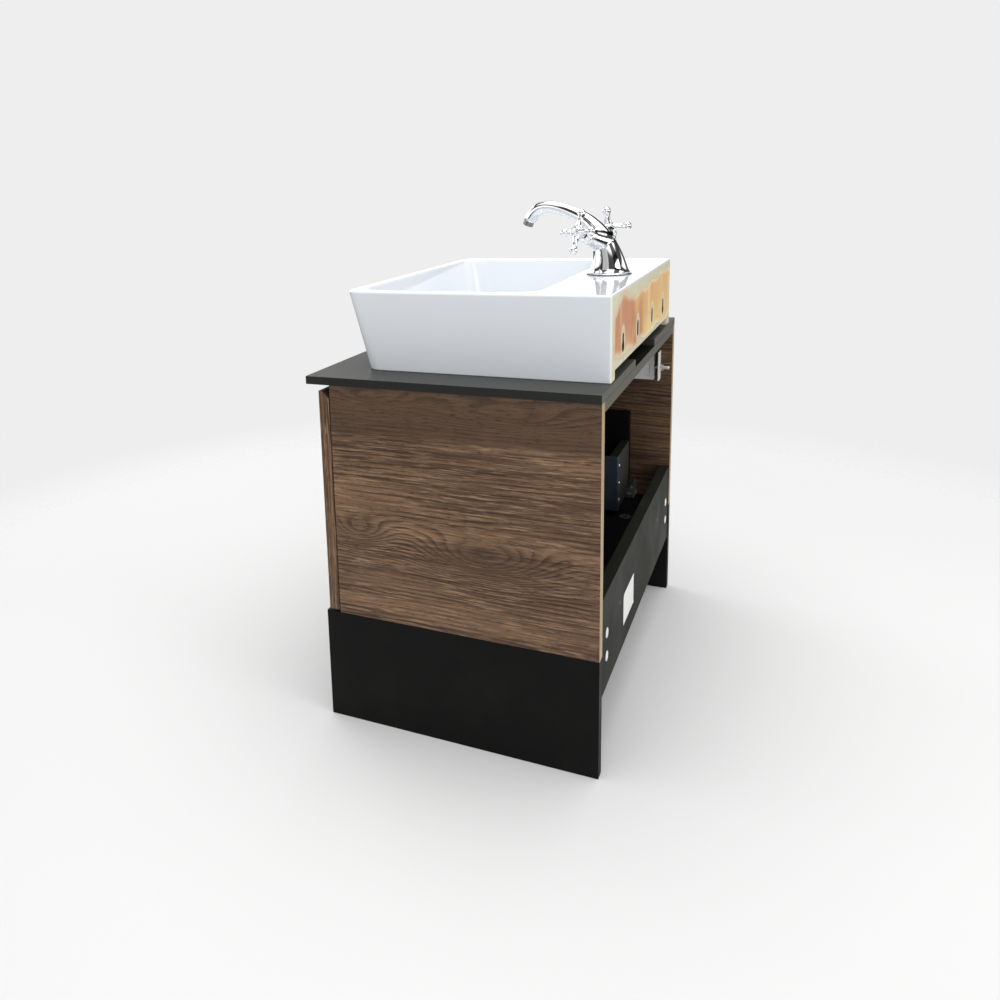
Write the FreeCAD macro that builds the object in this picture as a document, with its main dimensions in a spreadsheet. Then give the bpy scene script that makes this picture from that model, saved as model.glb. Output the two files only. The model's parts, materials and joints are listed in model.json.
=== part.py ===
import FreeCAD, Part
import os
import re
import Sketcher
from FreeCAD import Placement, Rotation, Vector

# Bathroom washstand: a ceramic vessel basin with a two-handle mixer, on a
# compact slab, on a walnut cabinet with one deep drawer and black side legs.
#
# Frame: X to the right, the drawer opens towards -Y, Z up. The origin is on
# the floor, in the middle of the slab's footprint. Millimetres.

doc = FreeCAD.newDocument("Washstand")

# ---------------------------------------------------------------- sizes
SIZES = {
    # slab and carcass
    "slab_side": 1, "slab_front": 21, "slab_thick": 13, "slab_edge": 0.8,
    "body_width": 700, "board": 19, "thin_board": 16,
    "side_depth": 424, "side_height": 385,
    "leg_height": 190, "leg_front": 5,
    "top_rail_depth": 55, "front_rail_depth": 60, "grip_space": 34,
    "rear_rail_drop": 71, "rear_rail_height": 156, "rail_inset": 1.5,
    "notch_width": 190, "notch_depth": 110,
    # furniture fittings
    "cam_radius": 7.5, "cam_depth": 12.5, "cam_inset": 38, "fit_gap": 0.2,
    "run_gap": 0.05, "bolt_radius": 3, "bolt_grip": 11, "cap_radius": 8, "cap_thick": 1.2,
    "dowel_radius": 4, "dowel_length": 40,
    "screw_radius": 1.75, "screw_length": 12, "screw_head": 3.6, "head_thick": 1.8,
    "label_width": 90, "label_height": 54, "label_offset": 115, "label_thick": 0.3,
    "grommet_radius": 11, "grommet_hole": 6, "grommet_side": 190, "grommet_back": 64,
    # wall hangers
    "hanger_width": 18, "hanger_length": 41, "hanger_height": 60,
    "hanger_back": 33, "hanger_low": 463,
    "plate_width": 27, "plate_thick": 2.5, "plate_back": 22,
    "stud_radius": 4, "stud_length": 48, "stud_back": 4, "nut_width": 13, "nut_thick": 6.5,
    # drawer
    "front_thick": 18, "front_gap": 2, "front_low": 3, "front_height": 372, "front_trim": 1,
    "front_bevel": 12, "drawer_clear": 5, "drawer_back": 80,
    "drawer_low": 27, "drawer_side_height": 174, "drawer_back_height": 113,
    "bottom_rise": 13, "recess_half": 190, "recess_depth": 230, "steel": 1.5,
    "flange": 16, "bracket_width": 40, "bracket_height": 60,
    "clip_width": 34, "clip_length": 40,
    # runners
    "channel_side": 22.7, "channel_inner": 12, "slide_gap": 0.3,
    "runner_flange": 28, "runner_back": 66, "web_height": 6.7, "neck_width": 4,
    "runner_low": 3, "hook_height": 26,
    # basin and waste
    "basin_width": 562, "basin_depth": 426, "basin_height": 127, "basin_back": 2,
    "front_slant": 35, "basin_corner": 24, "rear_corner": 3, "rim_round": 4,
    "rim_width": 18, "deck_depth": 116, "bowl_depth": 100, "bowl_draft": 12,
    "bowl_corner": 42, "floor_round": 26, "wall": 12, "deck_thick": 14,
    "arch_half": 255, "arch_height": 15, "outer_slot": 195, "inner_slot": 70,
    "slot_height": 40, "slot_radius": 6, "slot_run": 14, "keyhole_radius": 9,
    "waste_back": 262, "waste_hole": 23, "waste_radius": 20.5, "waste_bore": 17,
    "waste_length": 90, "waste_flange": 33, "flange_thick": 2.5,
    "tail_radius": 16, "tail_bore": 14, "tail_length": 36,
    "waste_nut_radius": 30, "waste_nut_thick": 10, "gasket_thick": 3,
    "plug_radius": 30, "plug_rise": 9, "plug_stem": 6,
    # mixer tap
    "tap_back": 63, "tap_turn": 15, "tap_hole": 17.5, "tap_base": 38,
    "base_height": 9, "tap_gasket": 1, "spout_reach": 157, "spout_rise": 115,
    "spout_radius": 11, "stud_offset": 9,
    "valve_forward": 8, "valve_height": 52, "valve_swing": 21, "valve_lift": 20,
    "valve_radius": 15, "valve_seat": 40, "hub_start": 51, "hub_length": 20,
    "spindle_radius": 4, "arm_length": 32, "arm_radius": 5, "ball_radius": 7.2,
    "aerator_radius": 9.5, "aerator_length": 12, "aerator_show": 5, "aerator_tilt": 24,
}
sheet = doc.addObject("Spreadsheet::Sheet", "Dims")
for row, (alias, value) in enumerate(SIZES.items(), start=1):
    sheet.set(f"A{row}", alias)
    sheet.set(f"B{row}", str(value))
    sheet.setAlias(f"B{row}", alias)
doc.recompute()

# Places that many pieces share, as expressions on the sheet
FRONT_RUN = "(side_depth + front_gap + front_thick)"
BACK = f"({FRONT_RUN} + slab_front) / 2"
INSIDE = "(body_width / 2 - board)"
CARCASS_TOP = "(leg_height + side_height)"
SLAB_TOP = "(leg_height + side_height + slab_thick)"
RIM = f"({SLAB_TOP} + basin_height)"
FLOOR = "(leg_height + thin_board)"
DRAWER_LOW = "(leg_height + drawer_low)"
DRAWER_BOTTOM = f"({DRAWER_LOW} + bottom_rise)"
FRONT_BACK_FACE = f"({BACK} - side_depth - front_gap)"
DRAWER_END = f"({BACK} - drawer_back)"
SIDE_IN = f"({INSIDE} - drawer_clear - thin_board)"
RUNNER_BASE = f"({FLOOR} + runner_low)"
CENTRE = (0, 0, 0)
AXES = {
    "X": Rotation(Vector(0, 1, 0), 90),
    "Y": Rotation(Vector(1, 0, 0), -90),
    "Z": Rotation(),
    "-X": Rotation(Vector(0, 1, 0), -90),
    "-Y": Rotation(Vector(1, 0, 0), 90),
    "-Z": Rotation(Vector(1, 0, 0), 180),
}
pieces = {}


# ---------------------------------------------------------------- helpers
def sized(text):
    """Write an expression's words as references to the sheet."""
    words = r"[a-z]+(?:_[a-z]+)+|\bboard\b|\bwall\b|\bsteel\b|\bflange\b"
    return re.sub(words, r"Dims.\g<0>", str(text))


def bind(item, **sizes):
    for name, text in sizes.items():
        item.setExpression(name, sized(text))


def place(item, corner, axis="Z"):
    """Put an object at a point given by three expressions, along an axis."""
    item.Placement = Placement(Vector(), AXES[axis])
    for name, text in zip("xyz", corner):
        item.setExpression(f".Placement.Base.{name}", sized(text))


def box(size, corner, name="Block"):
    item = doc.addObject("Part::Box", name)
    bind(item, Length=size[0], Width=size[1], Height=size[2])
    place(item, corner)
    return item


def rod(radius, length, start, axis="Z", name="Rod"):
    item = doc.addObject("Part::Cylinder", name)
    bind(item, Radius=radius, Height=length)
    place(item, start, axis)
    return item


def cone(low_radius, high_radius, length, start, axis="Z"):
    item = doc.addObject("Part::Cone", "Cone")
    bind(item, Radius1=low_radius, Radius2=high_radius, Height=length)
    place(item, start, axis)
    return item


def ball(radius, centre):
    item = doc.addObject("Part::Sphere", "Ball")
    bind(item, Radius=radius)
    place(item, centre)
    return item


def fuse(items, name="Joined"):
    if len(items) == 1:
        return items[0]
    item = doc.addObject("Part::MultiFuse", name)
    item.Shapes = items
    return item


def cut(base, tools, name="Carved"):
    item = doc.addObject("Part::Cut", name)
    item.Base = base
    item.Tool = fuse(tools, "Tools")
    return item


def mirrored(item):
    """Mirror an object to the other side of the middle plane."""
    other = doc.addObject("Part::Mirroring", "Mirrored")
    other.Source = item
    other.Normal = (1, 0, 0)
    other.Base = CENTRE
    return other


def both(items):
    """Give the objects and their mirror images."""
    return items + [mirrored(item) for item in items]


def group(items, name="Group"):
    item = doc.addObject("Part::Compound", name)
    item.Links = items
    return item


def outline(body, plane, points):
    """Draw a closed polygon whose corners are tied to the sheet."""
    base = [part for part in body.Origin.OriginFeatures if part.Role == plane][0]
    sketch = body.newObject("Sketcher::SketchObject", "Outline")
    sketch.AttachmentSupport = [(base, "")]
    sketch.MapMode = "FlatFace"
    count = len(points)
    start = [Vector(100, 0, 0), Vector(100, 100, 0), Vector(0, 100, 0)]
    for index in range(count):
        first = start[index % 3] * (1 + index)
        second = start[(index + 1) % 3] * (2 + index)
        sketch.addGeometry(Part.LineSegment(first, second), False)
    for index in range(count):
        sketch.addConstraint(Sketcher.Constraint("Coincident", index, 2, (index + 1) % count, 1))
    for index, point in enumerate(points):
        for kind, text in zip(("DistanceX", "DistanceY"), point):
            number = sketch.addConstraint(Sketcher.Constraint(kind, -1, 1, index, 1, 50.0))
            sketch.setExpression(f"Constraints[{number}]", sized(text))
    doc.recompute()
    return sketch


def padded(plane, points, length, name="Body", centred=False):
    """Extrude a polygon drawn on one of a new body's own origin planes."""
    body = doc.addObject("PartDesign::Body", name)
    pad = body.newObject("PartDesign::Pad", "Pad")
    pad.Profile = outline(body, plane, points)
    bind(pad, Length=length)
    pad.Midplane = centred
    doc.recompute()
    return body


def turned(points, name="Turned"):
    """Revolve a half profile of radius and height about the body's own Z axis."""
    body = doc.addObject("PartDesign::Body", name)
    sketch = outline(body, "XZ_Plane", points)
    spin = body.newObject("PartDesign::Revolution", "Revolution")
    spin.Profile = sketch
    spin.ReferenceAxis = (sketch, ["V_Axis"])
    spin.Angle = 360
    doc.recompute()
    return body


def dress_edges(body, chosen, size, kind="Fillet"):
    """Fillet or chamfer the edges that a test picks by their end points."""
    names = [f"Edge{number}" for number, edge in enumerate(body.Shape.Edges, start=1)
             if chosen([vertex.Point for vertex in edge.Vertexes])]
    bare = body.Tip
    dressing = body.newObject(f"PartDesign::{kind}", kind)
    dressing.Base = (bare, names)
    dressing.setExpression("Radius" if kind == "Fillet" else "Size", sized(size))
    doc.recompute()


def hexagon(width, length, start, axis="Z"):
    item = doc.addObject("Part::Prism", "Hexagon")
    item.Polygon = 6
    bind(item, Circumradius=f"({width}) / 2 / cos(30 deg)", Height=length)
    place(item, start, axis)
    return item


def keep(label, item):
    """Name a finished sub-part: the label is its file's name."""
    item.Label = label
    pieces[label] = item
    return item


def keep_pair(label, item):
    keep(f"{label}_right", item)
    keep(f"{label}_left", mirrored(item))


def away(distance):
    """The Y place at a distance ahead of the rear plane."""
    return f"{BACK} - ({distance})"


# ---------------------------------------------------------------- cam joints
# Each joint has a cam disc in the cross board and a bolt along X that grips
# the side board. They are built on the right and mirrored to the left.
cams = []
bolts = []


def cam_joint(y, z, face):
    """Add one cam and bolt, and return the bores for the board and the side."""
    middle = f"{INSIDE} - cam_inset"
    drop = "board / 2" if face == "rear" else "thin_board / 2"
    mouth = (middle, f"{y} + {drop}", z) if face == "rear" else (middle, y, f"{z} - {drop}")
    axis = "-Y" if face == "rear" else "Z"
    disc = rod("cam_radius", "cam_depth", mouth, axis, "Cam")
    slot = rod("bolt_radius + fit_gap", "cam_inset", (middle, y, z), "X")
    cams.append(cut(disc, [slot], "CamDisc"))
    bolts.append(rod("bolt_radius", "cam_inset + bolt_grip", (f"{middle} + fit_gap", y, z), "X", "CamBolt"))
    pocket = rod("cam_radius + fit_gap", "cam_depth + fit_gap", mouth, axis)
    channel = rod("bolt_radius + fit_gap", "cam_inset", (middle, y, z), "X")
    grip = rod("bolt_radius + fit_gap", "bolt_grip + 2 * fit_gap", (INSIDE, y, z), "X")
    return [pocket, channel], grip


def cam_joints(places, face):
    """Add several joints, and return the board's bores and the sides' bores."""
    made = [cam_joint(y, z, face) for y, z in places]
    return [bore for pair, _ in made for bore in pair], [grip for _, grip in made]


RAIL_MIDDLE = f"{BACK} - rail_inset - board / 2"
PANEL_CAM = "leg_height + board"
LEG_CAM = "leg_height - board"
rail_bores, (panel_grip, leg_grip) = cam_joints([(RAIL_MIDDLE, PANEL_CAM), (RAIL_MIDDLE, LEG_CAM)], "rear")
floor_level = "leg_height + thin_board / 2"
floor_bores, floor_grips = cam_joints([(away("side_depth / 4"), floor_level),
                                       (away("side_depth * 0.8"), floor_level)], "below")
top_level = f"{CARCASS_TOP} - thin_board / 2"
FRONT_RAIL = f"({BACK} - side_depth + grip_space)"
top_bores, top_grips = cam_joints([(away("top_rail_depth / 2"), top_level)], "below")
front_bores, front_grips = cam_joints([(f"{FRONT_RAIL} + front_rail_depth / 2", top_level)], "below")

# ---------------------------------------------------------------- carcass
dowel_middle = "body_width / 2 - board / 2"
dowels = [rod("dowel_radius", "dowel_length", (dowel_middle, away(f"side_depth * {share}"),
                                               "leg_height - dowel_length / 2"), name="Dowel")
          for share in (0.12, 0.5, 0.88)]
dowel_bores = [rod("dowel_radius + fit_gap", "dowel_length + 2 * fit_gap",
                   (dowel_middle, away(f"side_depth * {share}"), "leg_height - dowel_length / 2 - fit_gap"))
               for share in (0.12, 0.5, 0.88)]

runner_screw_level = f"{RUNNER_BASE} + runner_flange - 6"
runner_screw_places = [away(f"side_depth * {share}") for share in (0.25, 0.55, 0.85)]
runner_screw_bores = [rod("screw_radius + fit_gap", "screw_length", (INSIDE, y, runner_screw_level), "X")
                      for y in runner_screw_places]

side = cut(box(("board", "side_depth", "side_height"), (INSIDE, away("side_depth"), "leg_height")),
           [panel_grip] + floor_grips + top_grips + front_grips + dowel_bores + runner_screw_bores)
keep_pair("side_panel", side)
leg_depth = f"({FRONT_RUN} + leg_front)"
leg = cut(box(("board", leg_depth, "leg_height"), (INSIDE, away(leg_depth), 0)),
          [leg_grip] + dowel_bores)
keep_pair("leg", leg)

across = f"2 * {INSIDE}"
pin_place = (f"{INSIDE} - cam_inset - 104", f"{BACK} - rail_inset - 10", PANEL_CAM)
pin_bore = rod("dowel_radius + fit_gap", "10 + fit_gap", pin_place, "Y")
keep("rear_bottom_rail", cut(
    box((across, "board", "rear_rail_height"),
        (f"-{INSIDE}", f"{BACK} - rail_inset - board", "leg_height - rear_rail_drop")),
    both(rail_bores + [pin_bore])))

grommet_spot = ("-grommet_side", away("grommet_back"), "leg_height")
keep("bottom_panel", cut(
    box((across, "side_depth - board - rail_inset", "thin_board"),
        (f"-{INSIDE}", away("side_depth"), "leg_height")),
    both(floor_bores) + [rod("grommet_hole + 2", "thin_board", grommet_spot)]))

slab_screw_spots = [(x, y) for x in ("body_width / 4", "-body_width / 4")
                    for y in (away("top_rail_depth * 0.7"), f"{FRONT_RAIL} + front_rail_depth / 2")]


def slab_screw(x, y, gap):
    """A countersunk screw up through a top rail, or its bore when gap is not 0."""
    low = f"{CARCASS_TOP} - thin_board"
    head = cone(f"4 + {gap}", f"screw_radius + {gap}", "4", (x, y, low))
    shank = rod(f"screw_radius + {gap}", f"thin_board + 8 + {gap}", (x, y, low))
    return fuse([head, shank], "SlabScrew")


def screw_bores(rear):
    return [slab_screw(x, y, "fit_gap") for x, y in slab_screw_spots if ("top_rail" in y) == rear]


keep("rear_top_rail", cut(
    box((across, "top_rail_depth", "thin_board"),
        (f"-{INSIDE}", away("top_rail_depth"), f"{CARCASS_TOP} - thin_board")),
    both(top_bores) + screw_bores(True)))
keep("front_top_rail", cut(
    box((across, "front_rail_depth", "thin_board"),
        (f"-{INSIDE}", FRONT_RAIL, f"{CARCASS_TOP} - thin_board")),
    both(front_bores) + screw_bores(False)))

keep("cam_locks", group(both(cams)))
keep("cam_bolts", group(both(bolts)))
keep("leg_dowels", group(both(dowels)))
keep("slab_screws", group([slab_screw(x, y, "0") for x, y in slab_screw_spots]))
rail_face = f"{BACK} - rail_inset"
caps = [rod("cap_radius", "cap_thick", (f"{INSIDE} - cam_inset", rail_face, z), "Y", "Cap")
        for z in (PANEL_CAM, LEG_CAM)]
keep("rail_caps", group(both(caps)))
pins = [rod("dowel_radius", "10 + label_thick", pin_place, "Y", "Pin")]
keep("rail_pins", group(both(pins)))
keep("blank_label", box(("label_width", "label_thick", "label_height"),
                        ("label_offset - label_width / 2", rail_face, "leg_height - label_height * 0.66")))

ring = turned([("grommet_hole", "0"), ("grommet_hole + 1.8", "0"), ("grommet_hole + 1.8", "thin_board"),
               ("grommet_radius", "thin_board"), ("grommet_radius", "thin_board + 1.5"),
               ("grommet_hole", "thin_board + 1.5")])
place(ring, grommet_spot)
keep("bottom_grommet", ring)

# ---------------------------------------------------------------- slab
half = "(body_width / 2 + slab_side)"
slab = padded("XY_Plane", [
    (f"-{half}", f"-{BACK}"), (half, f"-{BACK}"), (half, BACK), ("notch_width / 2", BACK),
    ("notch_width / 2", f"{BACK} - notch_depth"), ("-notch_width / 2", f"{BACK} - notch_depth"),
    ("-notch_width / 2", BACK), (f"-{half}", BACK)], "slab_thick", "Slab")
dress_edges(slab, lambda ends: abs(ends[0].z - ends[1].z) < 0.1, "slab_edge", "Chamfer")
place(slab, ("0", "0", CARCASS_TOP))
waste_spot = ("0", away("waste_back"))
keep("countertop", cut(slab, [rod("waste_radius + 4", "slab_thick", waste_spot + (CARCASS_TOP,))]
                       + [slab_screw(x, y, "fit_gap") for x, y in slab_screw_spots]))

# ---------------------------------------------------------------- wall hangers
# A plastic housing in each rear corner holds a stud whose plate and nut
# clamp a rail on the wall.
hanger_side = f"{INSIDE} - hanger_width"
stud_axis = (f"{INSIDE} - hanger_width / 2", "hanger_low + hanger_height * 0.42")


def stud_rod(radius, length, y):
    return rod(radius, length, (stud_axis[0], y, stud_axis[1]), "Y", "Stud")


housing = cut(box(("hanger_width", "hanger_length", "hanger_height"),
                  (hanger_side, away("hanger_back + hanger_length"), "hanger_low")),
              [stud_rod("stud_radius + fit_gap", "stud_length", away("stud_back + stud_length + fit_gap"))])
plate = cut(box(("plate_width", "plate_thick", "hanger_height"),
                (f"{INSIDE} - plate_width - 1", away("plate_back + plate_thick"), "hanger_low")),
            [stud_rod("stud_radius + fit_gap", "plate_thick", away("plate_back + plate_thick"))])
nut = cut(hexagon("nut_width", "nut_thick", (stud_axis[0], away("plate_back"), stud_axis[1]), "Y"),
          [stud_rod("stud_radius + fit_gap", "nut_thick", away("plate_back"))])
keep("hanger_housings", group(both([housing])))
keep("hanger_plates", group(both([plate])))
keep("hanger_nuts", group(both([nut])))
keep("hanger_studs", group(both([stud_rod("stud_radius", "stud_length", away("stud_back + stud_length"))])))

# ---------------------------------------------------------------- runners
# Three nested members on each side: a channel on the side panel, a sliding
# middle member, and an inverted channel under the drawer's bottom.
inner_side = f"{INSIDE} - channel_side"
outer_web = f"{inner_side} - steel - channel_inner"
web_top = f"({RUNNER_BASE} + steel + web_height)"
lobe_low = f"({RUNNER_BASE} + steel + slide_gap)"
top_plate = f"({DRAWER_BOTTOM} - steel)"
runner_run = "side_depth - 4 - runner_back"

cabinet_rail = padded("XZ_Plane", [
    (INSIDE, RUNNER_BASE), (INSIDE, f"{RUNNER_BASE} + runner_flange"),
    (f"{INSIDE} - steel", f"{RUNNER_BASE} + runner_flange"), (f"{INSIDE} - steel", f"{RUNNER_BASE} + steel"),
    (inner_side, f"{RUNNER_BASE} + steel"), (inner_side, web_top),
    (f"{inner_side} - steel", web_top), (f"{inner_side} - steel", f"{RUNNER_BASE} + steel"),
    (outer_web, f"{RUNNER_BASE} + steel"), (outer_web, web_top),
    (f"{outer_web} - steel", web_top), (f"{outer_web} - steel", RUNNER_BASE)], runner_run, "CabinetRail")
place(cabinet_rail, ("0", away("runner_back"), "0"))
keep_pair("cabinet_rail", cut(cabinet_rail, [
    rod("screw_radius + fit_gap", "steel", (f"{INSIDE} - steel", y, runner_screw_level), "X")
    for y in runner_screw_places]))

lobe_right = f"{inner_side} - steel - slide_gap"
lobe_left = f"{outer_web} + slide_gap"
neck_middle = f"({lobe_right} + {lobe_left}) / 2"
lobe_top = f"{lobe_low} + web_height"
upper_low = f"{top_plate} - slide_gap - web_height"
upper_top = f"{top_plate} - slide_gap"
mid_rail = padded("XZ_Plane", [
    (lobe_right, lobe_low), (lobe_right, lobe_top), (f"{neck_middle} + neck_width / 2", lobe_top),
    (f"{neck_middle} + neck_width / 2", upper_low), (lobe_right, upper_low), (lobe_right, upper_top),
    (lobe_left, upper_top), (lobe_left, upper_low), (f"{neck_middle} - neck_width / 2", upper_low),
    (f"{neck_middle} - neck_width / 2", lobe_top), (lobe_left, lobe_top), (lobe_left, lobe_low)],
    f"{runner_run} - 6", "MiddleRail")
place(mid_rail, ("0", away("runner_back + 4"), "0"))
keep_pair("mid_rail", mid_rail)

drawer_rail_low = f"{top_plate} - web_height"
drawer_rail = padded("XZ_Plane", [
    (inner_side, drawer_rail_low), (inner_side, DRAWER_BOTTOM), (f"{outer_web} - steel", DRAWER_BOTTOM),
    (f"{outer_web} - steel", drawer_rail_low), (outer_web, drawer_rail_low), (outer_web, top_plate),
    (f"{inner_side} - steel", top_plate), (f"{inner_side} - steel", drawer_rail_low)],
    "side_depth - runner_back", "DrawerRail")
place(drawer_rail, ("0", away("runner_back"), "0"))
hook = [box(("channel_inner", "3", "steel"), (outer_web, away("runner_back"), top_plate)),
        box(("channel_inner", "steel", "8"), (outer_web, away("runner_back - 3"), top_plate)),
        rod("1.6", "hook_height", (neck_middle, away("runner_back + 5"), DRAWER_BOTTOM))]
keep_pair("drawer_rail", fuse([drawer_rail] + hook, "DrawerRailHook"))


def side_screw(x, y, z, axis):
    """A pan-head screw whose head stands off the face at its start point."""
    sign = "-" if axis[0] != "-" else ""
    back = [x, y, z]
    place_index = "XYZ".index(axis[-1])
    back[place_index] = f"{back[place_index]} {'-' if sign else '+'} head_thick"
    head = rod("screw_head", "head_thick", tuple(back), axis)
    shank = rod("screw_radius", "screw_length - head_thick", (x, y, z), axis)
    return fuse([head, shank], "Screw")


rail_screws = [side_screw(f"{INSIDE} - steel", y, runner_screw_level, "X") for y in runner_screw_places]
keep("runner_screws", group(both(rail_screws)))

# ---------------------------------------------------------------- drawer
front_face = f"({BACK} - {FRONT_RUN})"
front_base = "(leg_height + front_low)"
front_top = f"({front_base} + front_height)"
bracket_low = f"({DRAWER_BOTTOM} + thin_board + 20)"
bracket_levels = [f"{bracket_low} + bracket_height * {share}" for share in (0.25, 0.75)]
side_bracket_y = f"{FRONT_BACK_FACE} + bracket_width * 0.65"
front_bracket_x = f"{SIDE_IN} - bracket_width * 0.65"
front_screw_bores = [
    rod("screw_radius + fit_gap", "screw_length", (front_bracket_x, FRONT_BACK_FACE, z), "-Y")
    for z in bracket_levels]
side_screw_bores = [
    rod("screw_radius + fit_gap", "screw_length", (SIDE_IN, side_bracket_y, z), "X")
    for z in bracket_levels]

front_board = padded("YZ_Plane", [
    (front_face, front_base), (FRONT_BACK_FACE, front_base), (FRONT_BACK_FACE, f"{front_top} - front_bevel"),
    (f"{front_face} + front_thick - front_bevel", front_top), (front_face, front_top)],
    "body_width - 2 * front_trim", "FrontBoard", centred=True)
keep("drawer_front", cut(front_board, both(front_screw_bores)))

drawer_run = f"{DRAWER_END} - {FRONT_BACK_FACE}"
drawer_side = cut(box(("thin_board", drawer_run, "drawer_side_height"),
                      (SIDE_IN, FRONT_BACK_FACE, DRAWER_LOW)), side_screw_bores)
keep_pair("drawer_side", drawer_side)

back_levels = [f"{DRAWER_LOW} + drawer_back_height * {share}" for share in (0.18, 0.5, 0.82)]
flange_middle = "recess_half + flange / 2"
back_bores = [rod("screw_radius + fit_gap", "screw_length", (flange_middle, DRAWER_END, z), "-Y")
              for z in back_levels]
runner_notch = box((f"{SIDE_IN} - ({outer_web}) + 3", "thin_board", f"{DRAWER_BOTTOM} - {DRAWER_LOW} + 1"),
                   (f"{outer_web} - 3", f"{DRAWER_END} - thin_board", DRAWER_LOW))
back_board = cut(box((f"{SIDE_IN} - recess_half", "thin_board", "drawer_back_height"),
                     ("recess_half", f"{DRAWER_END} - thin_board", DRAWER_LOW)), back_bores + [runner_notch])
keep_pair("drawer_back", back_board)

bottom_back = f"({DRAWER_END} - thin_board)"
recess_front = f"({DRAWER_END} - recess_depth)"
drawer_bottom = padded("XY_Plane", [
    (f"-{SIDE_IN}", FRONT_BACK_FACE), (SIDE_IN, FRONT_BACK_FACE), (SIDE_IN, bottom_back),
    ("recess_half", bottom_back), ("recess_half", recess_front), ("-recess_half", recess_front),
    ("-recess_half", bottom_back), (f"-{SIDE_IN}", bottom_back)], "thin_board", "DrawerBottom")
place(drawer_bottom, ("0", "0", DRAWER_BOTTOM))
keep("drawer_bottom", drawer_bottom)

wall_in = "(recess_half - steel)"
wing = "(recess_half + flange)"
recess = padded("XY_Plane", [
    (f"-{wing}", DRAWER_END), ("-recess_half", DRAWER_END), ("-recess_half", recess_front),
    ("recess_half", recess_front), ("recess_half", DRAWER_END), (wing, DRAWER_END),
    (wing, f"{DRAWER_END} + steel"), (wall_in, f"{DRAWER_END} + steel"), (wall_in, f"{recess_front} + steel"),
    (f"-{wall_in}", f"{recess_front} + steel"), (f"-{wall_in}", f"{DRAWER_END} + steel"),
    (f"-{wing}", f"{DRAWER_END} + steel")], "drawer_back_height", "Recess")
place(recess, ("0", "0", DRAWER_LOW))
keep("trap_recess", cut(recess, both([
    rod("screw_radius + fit_gap", "steel", (flange_middle, DRAWER_END, z), "Y") for z in back_levels])))
recess_screws = [side_screw(flange_middle, f"{DRAWER_END} + steel", z, "-Y") for z in back_levels]
keep("recess_screws", group(both(recess_screws)))

corner_y = FRONT_BACK_FACE
bracket = padded("XY_Plane", [
    (SIDE_IN, corner_y), (SIDE_IN, f"{corner_y} + bracket_width"),
    (f"{SIDE_IN} - steel", f"{corner_y} + bracket_width"), (f"{SIDE_IN} - steel", f"{corner_y} + steel"),
    (f"{SIDE_IN} - bracket_width", f"{corner_y} + steel"), (f"{SIDE_IN} - bracket_width", corner_y)],
    "bracket_height", "Bracket")
place(bracket, ("0", "0", bracket_low))
bracket = cut(bracket, [
    hole for z in bracket_levels for hole in (
        rod("screw_radius + fit_gap", "steel", (f"{SIDE_IN} - steel", side_bracket_y, z), "X"),
        rod("screw_radius + fit_gap", "steel", (front_bracket_x, corner_y, z), "Y"))])
keep("front_brackets", group(both([bracket])))
bracket_screws = [screw for z in bracket_levels for screw in (
    side_screw(f"{SIDE_IN} - steel", side_bracket_y, z, "X"),
    side_screw(front_bracket_x, f"{corner_y} + steel", z, "-Y"))]
keep("bracket_screws", group(both(bracket_screws)))

clip = box(("clip_width", "clip_length", "bottom_rise - 2"),
           (f"{outer_web} - steel - clip_width", FRONT_BACK_FACE, f"{DRAWER_BOTTOM} - bottom_rise + 2"))
keep("runner_clips", group(both([clip])))

# ---------------------------------------------------------------- basin
basin_rear = f"({BACK} - basin_back)"
basin_front = f"({basin_rear} - basin_depth)"
shell = padded("YZ_Plane", [
    (basin_rear, "0"), (f"{basin_front} + front_slant", "0"), (basin_front, "basin_height"),
    (basin_rear, "basin_height")], "basin_width", "Shell", centred=True)


def upright(ends):
    return len(ends) == 2 and abs(ends[0].z - ends[1].z) > 10


dress_edges(shell, lambda ends: upright(ends) and min(end.y for end in ends) < 0, "basin_corner")
dress_edges(shell, lambda ends: upright(ends) and min(end.y for end in ends) > 0
            and abs(ends[0].x - ends[1].x) < 0.1, "rear_corner")

bowl_rear = f"({basin_rear} - deck_depth)"
bowl_front = f"({basin_front} + rim_width)"
bowl_half = "(basin_width / 2 - rim_width)"
bowl_outline = outline(shell, "XY_Plane", [
    (f"-{bowl_half}", bowl_front), (bowl_half, bowl_front),
    (bowl_half, bowl_rear), (f"-{bowl_half}", bowl_rear)])
bowl_outline.setExpression(".AttachmentOffset.Base.z", sized("basin_height"))
bowl = shell.newObject("PartDesign::Pocket", "Bowl")
bowl.Profile = bowl_outline
bind(bowl, Length="bowl_depth", TaperAngle="-bowl_draft")
doc.recompute()


def bowl_edge(ends):
    edge_half = sheet.get("basin_width") / 2 - sheet.get("rim_width") + 1
    inside = all(abs(end.x) < edge_half for end in ends)
    return inside and all(end.z > 1 for end in ends)


dress_edges(shell, lambda ends: bowl_edge(ends) and upright(ends)
            and abs(ends[0].x) > 100 and abs(ends[1].x) > 100, "bowl_corner")
floor_level_mm = sheet.get("basin_height") - sheet.get("bowl_depth")
dress_edges(shell, lambda ends: bowl_edge(ends)
            and all(abs(end.z - floor_level_mm) < 0.1 for end in ends), "floor_round")
rim_level = sheet.get("basin_height")
dress_edges(shell, lambda ends: all(abs(end.z - rim_level) < 0.1 for end in ends), "rim_round")
place(shell, ("0", "0", SLAB_TOP))

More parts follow.
